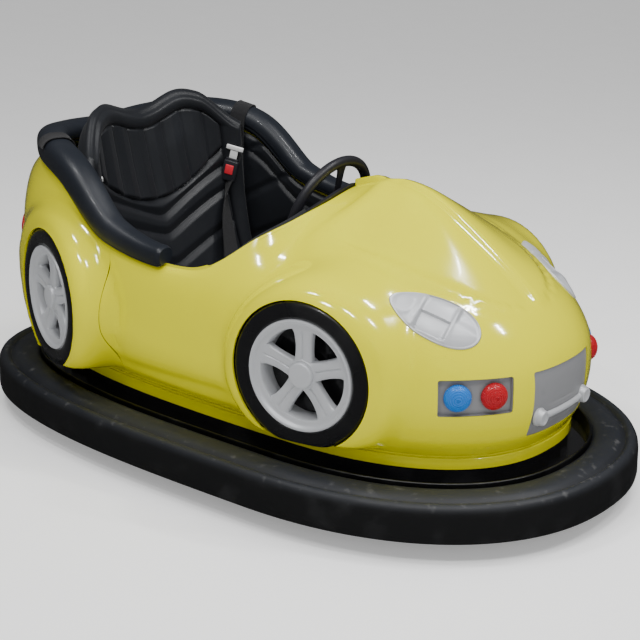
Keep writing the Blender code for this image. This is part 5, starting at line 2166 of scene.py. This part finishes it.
def swollen(obj: bpy.types.Object, voxel: float, pressure: float, cap: float) -> None:
    """Blow a closed pad up like stuffed fabric and keep the result.

    Args:
        obj: The pad, whose mesh is replaced.
        voxel: Size of the cells it is remeshed in.
        pressure: Pressure inside the cover.
        cap: The furthest a point may move, in metres.
    """
    remesh = obj.modifiers.new("cells", "REMESH")
    remesh.mode = "VOXEL"
    remesh.voxel_size = voxel
    applied(obj)
    rest = np.empty(len(obj.data.vertices) * 3)
    obj.data.vertices.foreach_get("co", rest)
    cloth = obj.modifiers.new("cover", "CLOTH")
    cloth.settings.use_pressure = True
    cloth.settings.uniform_pressure_force = pressure
    cloth.settings.effector_weights.gravity = 0.0
    cloth.settings.quality = 5
    scene = bpy.context.scene
    for frame in range(1, 21):
        scene.frame_set(frame)
    mesh = baked(obj)
    moved = np.empty(len(rest))
    mesh.vertices.foreach_get("co", moved)
    shift = (moved - rest).reshape(-1, 3)
    length = np.maximum(np.linalg.norm(shift, axis=-1, keepdims=True), 1e-9)
    shift *= np.minimum(1.0, cap / length)
    mesh.vertices.foreach_set("co", (rest.reshape(-1, 3) + shift).ravel())
    obj.modifiers.clear()
    obj.data = mesh
    scene.frame_set(1)
    finer = obj.modifiers.new("finer", "SUBSURF")
    finer.levels = 1
    finer.render_levels = 1
    applied(obj)
    obj.data.shade_smooth()


@dataclass(frozen=True)
class SeatBack:
    """The two-humped seat back: a wide padded border, upright channels, and chevron seams below."""

    foot_x: float = -0.420
    head_x: float = -0.612
    half_width: float = 0.296
    wrap: float = 0.120
    depth: float = 0.050
    foot: float = 0.2603
    dip: float = 0.828
    hump: float = 0.866
    hump_y: float = 0.150
    shoulder: float = 0.742
    border: float = 0.046
    channel_pitch: float = 0.068

    def top(self, y: np.ndarray) -> np.ndarray:
        """Height of the seat back's top edge at distances from the middle."""
        hump = np.exp(-(((np.abs(y) - self.hump_y) / 0.085) ** 2))
        return self.dip + (self.hump - self.dip) * hump - (self.dip - self.shoulder) * smooth(
            (np.abs(y) - 0.20) / 0.13
        )

    def surface(self, y: np.ndarray, up: np.ndarray) -> Grid:
        """Plain front face at distances from the middle and shares of the height."""
        lean = up + 0.10 * np.sin(math.pi * up)
        x = self.foot_x + (self.head_x - self.foot_x) * lean
        x = x + (0.01 + (self.wrap - 0.01) * up) * (np.abs(y) / self.half_width) ** 3
        return np.stack([x, y, self.foot + up * (self.top(y) - self.foot)], axis=-1)

    def padding(self, y: np.ndarray, z: np.ndarray) -> np.ndarray:
        """How far the cover stands out: swollen fields between sewn seams.

        Args:
            y: Distances from the middle.
            z: Heights.

        Returns:
            The cover's rise.
        """
        from_edge = np.minimum(self.top(y) - z, self.half_width - np.abs(y))
        from_edge = np.where(z < 0.45, self.half_width - np.abs(y), from_edge)
        inside = smooth((from_edge - self.border) / 0.004)
        rise = 0.012 * np.sqrt(
            np.clip(1 - ((from_edge - self.border / 2) / (self.border / 2)) ** 2, 0, 1)
        ) * (1 - inside)
        swoop = 0.585 + 0.115 * (np.abs(y) / 0.25) ** 2
        above = smooth((z - swoop) / 0.006)
        phase = (y / self.channel_pitch) % 1.0
        channel = np.minimum(phase, 1 - phase) * self.channel_pitch
        rise = rise + inside * above * (0.0095 * np.sqrt(np.clip(channel / (self.channel_pitch / 2), 0, 1)))
        rise = rise - inside * above * 0.0035 * ridge(channel, 0.0022)
        below = inside * (1 - above)
        lines = [
            swoop,
            0.530 + 0.46 * np.sqrt(y**2 + 0.0004),
            0.478 + 0.40 * np.sqrt(y**2 + 0.0004),
            0.395 + 0.34 * np.sqrt(y**2 + 0.0004),
        ]
        nearest = np.min([np.abs(z - line) for line in lines], axis=0)
        rise = rise + below * 0.008 * smooth(nearest / 0.022)
        rise = rise - inside * 0.0030 * ridge(nearest, 0.0024) * (
            below + 1 - smooth(np.abs(z - swoop) / 0.004)
        )
        return rise - 0.0035 * ridge(from_edge - self.border, 0.0025)

    def build(self) -> None:
        """Build the seat back and the stitches along its border."""
        columns, rows = 210, 190
        y, up = np.meshgrid(
            np.linspace(-self.half_width, self.half_width, columns),
            np.linspace(0, 1, rows),
            indexing="ij",
        )
        front = self.surface(y, up)
        normals = grid_normals(front)
        normals *= np.where(normals[..., :1] < 0, -1.0, 1.0)
        out = front + normals * self.padding(y, front[..., 2])[..., None]
        roll = smooth((1 - up) / 0.03)[..., None]
        out = front * (1 - roll) + out * roll
        level = np.cross(np.gradient(front, axis=0), np.array([0.0, 0.0, 1.0]))
        level /= np.linalg.norm(level, axis=-1, keepdims=True)
        level *= np.where(level[..., :1] > 0, -1.0, 1.0)
        back_depth = self.depth * (1 - 0.5 * smooth((up - 0.93) / 0.07))
        back = (front + level * back_depth[..., None])[:, ::-3]
        crown = (out[:, -1:] + back[:, :1]) / 2 + np.array([0.0, 0.0, 0.010])
        loops = np.concatenate([out, crown, back], axis=1)
        mesh = grid_mesh("padded_seat_back", loops, False, True, capped=True)
        turn_outwards(mesh, 80.0)
        piece = new_object("padded_seat_back", mesh, HIDE)
        place(piece, "car", "leather", "seat_back")
        self.stitch()

    def stitch(self) -> None:
        """Sew the seam inside the border."""
        across = self.half_width - self.border
        y = np.linspace(-across, across, 90)
        z = self.top(y) - self.border
        up = (z - self.foot) / (self.top(y) - self.foot)
        line = self.surface(y, up) + np.array([0.0022, 0.0, 0.0])
        thread = stitch_tree(THREAD).run(
            "seat_stitches",
            poly_curve("seam_line", line, False),
            Pitch=0.0080,
            Length=0.0055,
            Thickness=0.0006,
        )
        place(thread, "car", "leather")


@dataclass(frozen=True)
class SeatCushion:
    """The bench cushion, stuffed tight, with a seam down its middle."""

    def build(self) -> None:
        """Build the cushion inside its plain solid's space."""
        low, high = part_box("seat_cushion")
        inner = 0.010
        start = rounded_box("bench_cushion", [c + inner for c in low], [c - inner for c in high], 0.022)
        piece = new_object("bench_cushion", start, HIDE)
        swollen(piece, 0.008, 4.0, 0.012)
        mesh = piece.data
        points = np.empty(len(mesh.vertices) * 3)
        mesh.vertices.foreach_get("co", points)
        points = points.reshape(-1, 3)
        top = smooth((points[:, 2] - high.z + 0.04) / 0.02)
        points[:, 2] -= top * 0.005 * (
            ridge(points[:, 1], 0.004) + ridge(np.abs(points[:, 1]) - 0.17, 0.004)
        )
        points[:, 2] = np.clip(points[:, 2], low.z, high.z + 0.004)
        mesh.vertices.foreach_set("co", points.ravel())
        mesh.update()
        mesh.shade_smooth()
        mesh.materials.clear()
        mesh.materials.append(HIDE.material())
        place(piece, "car", "leather", "seat_cushion")


@dataclass(frozen=True)
class SidePad:
    """The padded lining of one side of the cockpit, with its slanting seams."""

    start: float = 70.05
    end: float = 147.0
    bottom: float = 0.270

    def build(self, side: Side) -> None:
        """Build the pad of one side.

        Args:
            side: Its side.
        """
        bearings = np.linspace(self.start, self.end, 170)
        drop = np.linspace(0, 1, 110)
        top = SHAPE.edge_point(bearings)[:, 2] - 0.003
        z = top[:, None] + (self.bottom - top)[:, None] * drop[None]
        inset = 0.0232 + 0.012 * drop
        plan = np.stack([SHAPE.edge_point(bearings, i)[:, :2] for i in inset], axis=1)
        front = np.concatenate([plan, z[..., None]], axis=-1)
        x = front[..., 0]
        slant = [0.530 + 0.57 * (x + 0.52), 0.395 + 0.50 * (x + 0.52), 0.665 + 0.57 * (x + 0.52)]
        band = np.abs((top[:, None] - z) - 0.050)
        nearest = np.minimum(np.min([np.abs(z - line) for line in slant], axis=0), band)
        rise = 0.0075 * smooth(nearest / 0.022) - 0.0030 * ridge(nearest, 0.0024)
        rise = rise * smooth(drop / 0.03)[None] * smooth((1 - drop) / 0.05)[None]
        inward = SHAPE.edge_point(bearings, 0.05)[:, :2] - SHAPE.edge_point(bearings, 0.0)[:, :2]
        inward /= np.linalg.norm(inward, axis=-1, keepdims=True)
        front[..., :2] += inward[:, None] * rise[..., None]
        behind = np.stack([SHAPE.edge_point(bearings, i)[:, :2] for i in (0.0160, 0.0012)], axis=1)
        levels = np.stack([np.full(len(bearings), self.bottom), top - 0.002], axis=1)
        back = np.concatenate([behind, levels[..., None]], axis=-1)
        loops = np.concatenate([front, back], axis=1)
        loops[..., 1] *= side.value
        mesh = grid_mesh(f"side_lining_{side.word}", loops, False, True, capped=True)
        turn_outwards(mesh, 70.0)
        piece = new_object(mesh.name, mesh, HIDE)
        place(piece, "car", "leather", f"side_pad_{side.word}")


@dataclass(frozen=True)
class RimRoll:
    """The padded roll over the cockpit's edge, from one door round the back to the other."""

    start: float = 114.0
    taper: float = 28.0
    slim: float = 0.024
    full: float = 0.035
    lift: float = 0.0030

    def radius(self, bearings: np.ndarray) -> np.ndarray:
        """The roll's radius at bearings from 0 to 360."""
        from_end = np.minimum(bearings, 360 - bearings) - self.start
        return self.slim + (self.full - self.slim) * smooth(from_end / self.taper)

    def build(self) -> None:
        """Build the roll and its underside seam."""
        bearings = np.linspace(self.start, 360 - self.start, 260)
        edge, out, ahead = rim_frame(bearings)
        up = np.cross(out, ahead)
        radius = self.radius(bearings)
        centre = edge + up * (radius + self.lift)[:, None] + out * 0.006
        angle = np.linspace(0, 2 * math.pi, 48, endpoint=False)
        wide = np.sign(np.cos(angle)) * np.abs(np.cos(angle)) ** 0.85 * 1.22
        high = np.sign(np.sin(angle)) * np.abs(np.sin(angle)) ** 0.90 * 1.02
        droop = 0.55 * smooth(np.cos(angle)) * smooth((0.35 - np.sin(angle)) / 1.0)
        along = np.linspace(0, 1, len(bearings))
        end = np.sqrt(
            np.clip(1 - np.clip(1 - np.minimum(along, 1 - along) / 0.008, 0, 1) ** 2 * 0.35, 0, 1)
        )
        scale = (radius * end)[:, None]
        crease = 1 + 0.006 * np.sin(along * 190.0)[:, None] * ridge(angle - 2.4, 0.5)[None]
        rows = centre[:, None] + out[:, None] * (scale * wide * crease)[..., None]
        rows += up[:, None] * (scale * (high * crease - droop))[..., None]
        seam = 0.0025 * ridge(angle - 3.55, 0.05) + 0.0020 * ridge(angle - 5.75, 0.05)
        rows -= (rows - centre[:, None]) / scale[..., None] * seam[None, :, None]
        mesh = grid_mesh("padded_rim_roll", rows, False, True, capped=True)
        piece = new_object("padded_rim_roll", mesh, ROLL_HIDE)
        place(piece, "car", "leather", "rim_roll")


# Belts


@dataclass(frozen=True)
class LapBelt:
    """A lap belt that wraps the rim roll at a rear corner and hangs inside it, with tongue and buckle."""

    side: Side
    bearing: float
    width: float = 0.047
    thickness: float = 0.0022
    drop: float = 0.300

    def strap(self, points: np.ndarray, ways: np.ndarray, name: str) -> bpy.types.Mesh:
        """A flat strap with a thicker selvedge along points.

        Args:
            points: The strap's middle line.
            ways: The direction of its width at each point.
            name: The mesh's name.

        Returns:
            The mesh.
        """
        along = np.gradient(points, axis=0)
        along /= np.linalg.norm(along, axis=-1, keepdims=True)
        normal = np.cross(along, ways)
        normal /= np.linalg.norm(normal, axis=-1, keepdims=True)
        half, t = self.width / 2, self.thickness / 2
        across = np.array([-1, -0.97, -0.90, -0.82, 0, 0.82, 0.90, 0.97, 1.0])
        thick = np.array([0.5, 1.25, 1.25, 0.85, 0.85, 0.85, 1.25, 1.25, 0.5])
        front = points[:, None] + ways[:, None] * (
            across * half
        )[None, :, None] + normal[:, None] * (thick * t)[None, :, None]
        back = points[:, None] + ways[:, None] * (
            across * half
        )[None, :, None] - normal[:, None] * (thick * t)[None, :, None]
        mesh = grid_mesh(name, np.concatenate([front, back[:, ::-1]], axis=1), False, True, capped=True)
        turn_outwards(mesh, 60.0)
        return mesh

    def curve(self, controls: Sequence[Sequence[float]], steps: int = 10) -> np.ndarray:
        """A smooth line through a few points."""
        points = np.array(controls, float)[None]
        return spline_rows(points, (steps,) * (points.shape[1] - 1))[0]

    def build(self, roll: RimRoll) -> None:
        """Build the straps, the tongue and the buckle.

        Args:
            roll: The rim roll that the belt wraps.
        """
        bearing = self.bearing if self.side is Side.LEFT else 360 - self.bearing
        edge, out, ahead = (v[0] for v in rim_frame(np.array([bearing])))
        up = np.cross(out, ahead)
        radius = float(roll.radius(np.array([bearing]))[0])
        centre = edge + up * (radius + roll.lift) + out * 0.006
        points = []
        for angle in np.radians(np.linspace(8, 176, 16)):
            wide = math.copysign(
                abs(math.cos(angle)) ** 0.85,
                math.cos(angle),
            ) * 1.22 * radius + math.copysign(0.003, math.cos(angle))
            high = abs(math.sin(angle)) ** 0.90 * 1.02 * radius + 0.0032
            points.append(centre + out * wide + up * high)
        last = points[-1]
        for i in range(1, 14):
            share = i / 13
            points.append(
                last + np.array([0, 0, -self.drop * share]) - out * (
                    0.012 * math.sin(math.pi * share)
                ) - out * 0.004
            )
        line = np.array(points)
        ways = np.broadcast_to(ahead, line.shape).copy()
        strap = self.strap(line, ways, "hanging")
        low = line[-1]
        seat_y = self.side.value * 0.10
        second = self.curve([
            line[17] - out * 0.012, line[17] - out * 0.035 + np.array([0.01, 0, -0.06]),
            (low + np.array([0.03, -self.side.value * 0.09, 0.08])),
            (-0.400, seat_y + self.side.value * 0.045, 0.395), (-0.385, seat_y, 0.352),
        ])
        turn = np.linspace(0, 1, len(second))[:, None]
        second_ways = ahead[None] * (1 - turn) + np.array([0.55, self.side.value * 0.83, 0.0])[None] * turn
        second_ways /= np.linalg.norm(second_ways, axis=-1, keepdims=True)
        lap = self.strap(second, second_ways, "lap")
        whole = joined(f"belt_strap_{self.side.word}", [strap, lap])
        piece = new_object(f"belt_strap_{self.side.word}", whole, WEBBING)
        place(piece, "car", "webbing", f"seat_belt_{self.side.word}")
        middle = second[14]
        face = -out + np.array([0, 0, 0.15])
        self.buckle(Vector(middle), Vector(face), Vector(second[16] - second[12]))

    def buckle(self, middle: Vector, face: Vector, along: Vector) -> None:
        """The buckle, its red button and the bright tongue above it.

        Args:
            middle: The buckle's middle.
            face: The way its front looks.
            along: The way the strap runs down.
        """
        z = face.normalized()
        y = -(along - z * along.dot(z)).normalized()
        matrix = Matrix((y.cross(z), y, z)).transposed().to_4x4()
        matrix.translation = middle + z * 0.006
        body = rounded_box("body", (-0.023, -0.033, -0.009), (0.023, 0.030, 0.011), 0.005)
        mouth = rounded_box("mouth", (-0.019, 0.026, -0.006), (0.019, 0.036, 0.007), 0.002)
        case = joined(f"buckle_case_{self.side.word}", [body, mouth])
        case.transform(matrix)
        place(
            new_object(case.name, case, BLACK_PLASTIC),
            "car",
            "black_plastic",
            f"belt_buckle_{self.side.word}",
        )
        button = rounded_box(
            f"buckle_button_{self.side.word}",
            (-0.013, -0.012, 0.008),
            (0.013, 0.016, 0.0135),
            0.002,
        )
        button.transform(matrix)
        place(new_object(button.name, button, RED_PLASTIC), "car", "red_lens")
        plate = rounded_box("plate", (-0.012, 0.034, -0.0012), (0.012, 0.062, 0.0012), 0.001, 2)
        bar = rounded_box("bar", (-0.027, 0.060, -0.003), (0.027, 0.074, 0.004), 0.0025)
        tongue = joined(f"belt_tongue_{self.side.word}", [plate, bar])
        tongue.transform(matrix)
        place(new_object(tongue.name, tongue, WHITE_METAL), "car", "silver_paint")


# Steering


@dataclass(frozen=True)
class SteeringWheel:
    """The thick-rimmed three-spoke wheel, its hub and cap."""

    centre: tuple[float, float, float] = (0.080, 0.0, 0.655)
    tilt: float = 18.0
    radius: float = 0.152
    grip: float = 0.0145

    def build(self) -> None:
        """Build the wheel."""
        tilt = math.radians(self.tilt)
        matrix = axis_matrix(Vector(self.centre), Vector((-math.cos(tilt), 0, math.sin(tilt))))
        angles = np.linspace(0, 2 * math.pi, 28, endpoint=False)
        rim = turned(
            "rim",
            [(self.radius + self.grip * math.cos(a), self.grip * 0.92 * math.sin(a)) for a in angles],
            128,
        )
        hub = turned("hub", [
            (0.0005, -0.030), (0.030, -0.030), (0.034, -0.026), (0.034, -0.004), (0.0325, 0.0015),
            (0.029, 0.0035), (0.026, 0.0030),
            (0.0245, 0.0050), (0.020, 0.0075), (0.010, 0.0090), (0.0005, 0.0094),
        ], 64)
        meshes = [rim, hub]
        for i in range(3):
            along = np.linspace(0.022, self.radius - 0.004, 22)
            share = (along - along[0]) / (along[-1] - along[0])
            half = 0.0165 - 0.0040 * np.sin(math.pi * share) + 0.004 * smooth((share - 0.8) / 0.2)
            rise = -0.010 + 0.010 * share**2
            turn = np.linspace(0, 2 * math.pi, 20, endpoint=False)
            section = np.stack([np.cos(turn), 0.42 * np.sin(turn)], axis=-1)
            rows = np.stack([
                np.broadcast_to(along[:, None], (22, 20)),
                half[:, None] * section[None, :, 0],
                rise[:, None] + half[:, None] * section[None, :, 1],
            ], axis=-1)
            spoke = grid_mesh("spoke", rows, False, True, capped=True)
            spoke.transform(Matrix.Rotation(math.radians(90 + 120 * i), 4, "Z"))
            meshes.append(spoke)
        whole = joined("steering_grip", meshes)
        whole.transform(matrix)
        place(
            new_object("steering_grip", whole, BLACK_PLASTIC),
            "steering",
            "black_plastic",
            "steering_wheel",
        )
        dress("steering_shaft", BRIGHT_STEEL)
        dress("steering_column", BLACK_PLASTIC)
        dress("column_post", STEEL_BLACK)


# Running gear


def dress_running_gear() -> None:
    """Dress what the pan and the seat hide: the drive unit, the axle, the battery and the pedal."""
    for node in ("drive_fork", "drive_bridge", "seat_box"):
        dress(node, STEEL_BLACK)
    dress("drive_motor", MOTOR_GREY)
    dress("battery_pack", BATTERY_CASE)
    dress("rear_axle", BRIGHT_STEEL)
    for node in ("drive_wheel", "rear_wheel_left", "rear_wheel_right"):
        dress(node, WHEEL_RUBBER)
    dress("accelerator_pedal", BLACK_PLASTIC)
    dress("dashboard", BLACK_PLASTIC)


# Studio


@dataclass(frozen=True)
class Studio:
    """A pale floor, soft light and the camera."""

    camera_place: tuple[float, float, float] = (2.715, -3.302, 1.810)
    heading: float = 36.804
    height: float = 18.872
    roll: float = -0.892
    lens: float = 92.184
    shift: tuple[float, float] = (-0.08732, -0.00758)
    room: float = 0.42
    room_mirrored: float = 0.06

    def camera(self) -> None:
        """Make the camera and point it."""
        a, e, r = (math.radians(v) for v in (self.heading, self.height, self.roll))
        back = Vector((math.sin(a) * math.cos(e), -math.cos(a) * math.cos(e), math.sin(e)))
        right = Vector((math.cos(a), math.sin(a), 0))
        up = back.cross(right)
        x = right * math.cos(r) - up * math.sin(r)
        y = right * math.sin(r) + up * math.cos(r)
        data = bpy.data.cameras.new("camera")
        data.sensor_width = 36.0
        data.lens = self.lens
        data.shift_x, data.shift_y = self.shift
        data.clip_end = 100.0
        obj = bpy.data.objects.new("camera", data)
        matrix = Matrix((x, y, back)).transposed().to_4x4()
        matrix.translation = self.camera_place
        obj.matrix_world = matrix
        bpy.context.scene.collection.objects.link(obj)
        bpy.context.scene.camera = obj

    def lamp(
        self,
        name: str,
        at: Sequence[float],
        aim: Sequence[float],
        size: tuple[float, float],
        power: float,
        mirrored: bool = True,
    ) -> None:
        """A soft rectangular light.

        Args:
            name: Its name.
            at: Its place.
            aim: The point it shines at.
            size: Its sides.
            power: Its power in watts.
            mirrored: Whether shiny pieces mirror it.
        """
        data = bpy.data.lights.new(name, "AREA")
        data.shape = "RECTANGLE"
        data.size, data.size_y = size
        data.energy = power
        obj = bpy.data.objects.new(name, data)
        way = Vector(at) - Vector(aim)
        obj.matrix_world = axis_matrix(Vector(at), way, Vector((0, 1, 0.01)))
        obj.visible_glossy = mirrored
        bpy.context.scene.collection.objects.link(obj)

    def build(self) -> None:
        """Build the floor, the lights and the camera."""
        floor = new_object("floor", bpy.data.meshes.new("floor"))
        floor.data.from_pydata([(-40, -40, 0), (40, -40, 0), (40, 40, 0), (-40, 40, 0)], [], [(0, 1, 2, 3)])
        floor.data.materials.append(FLOOR_WHITE.material())
        floor.visible_glossy = False
        world = bpy.data.worlds.new("studio")
        world.use_nodes = True
        nodes, links = world.node_tree.nodes, world.node_tree.links
        mirrored = nodes.new("ShaderNodeLightPath").outputs["Is Glossy Ray"]
        strength = nodes.new("ShaderNodeMapRange")
        strength.inputs["To Min"].default_value = self.room
        strength.inputs["To Max"].default_value = self.room_mirrored
        links.new(mirrored, strength.inputs["Value"])
        nodes["Background"].inputs["Color"].default_value = (1.0, 1.0, 1.0, 1.0)
        links.new(strength.outputs["Result"], nodes["Background"].inputs["Strength"])
        bpy.context.scene.world = world
        self.lamp("overhead", (0.2, 0.2, 4.2), (0, 0, 0.3), (3.2, 2.0), 95.0, mirrored=False)
        self.lamp("front_fill", (3.6, -2.8, 2.2), (0.2, 0, 0.4), (1.6, 1.2), 30.0, mirrored=False)
        for i, (x, y) in enumerate(
            ((1.6, -1.6), (2.6, -0.4), (0.4, -2.4), (-0.6, -1.2), (1.4, 0.9), (2.9, 1.2))
        ):
            self.lamp(f"strip_{i}", (x, y, 3.6), (x * 0.5, y * 0.5, 0.4), (0.55, 0.10), 26.0)
        self.camera()


def main() -> None:
    """Build the whole car in order."""
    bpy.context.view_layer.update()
    RubberRing().build()
    body = GelcoatBody()
    face = body.surface()
    openings: dict[str, list[bpy.types.Object]] = {"front": [NosePlate().build(face)], "rear": []}
    for side in Side:
        openings["front"].append(Headlight().build(face, side))
        openings["front"].append(LampTray().build(face, side))
        openings["rear"].append(TailLamp().build(face, side))
    body.build(openings)
    DummyWheel().build()
    SeatBack().build()
    SeatCushion().build()
    roll = RimRoll()
    roll.build()
    for side, bearing in ((Side.LEFT, 146.0), (Side.RIGHT, 150.0)):
        SidePad().build(side)
        LapBelt(side, bearing).build(roll)
    SteeringWheel().build()
    dress_running_gear()
    Studio().build()


if __name__ == "__main__":
    logging.basicConfig(level=logging.INFO, format="%(name)s: %(message)s")
    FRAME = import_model()
    main()
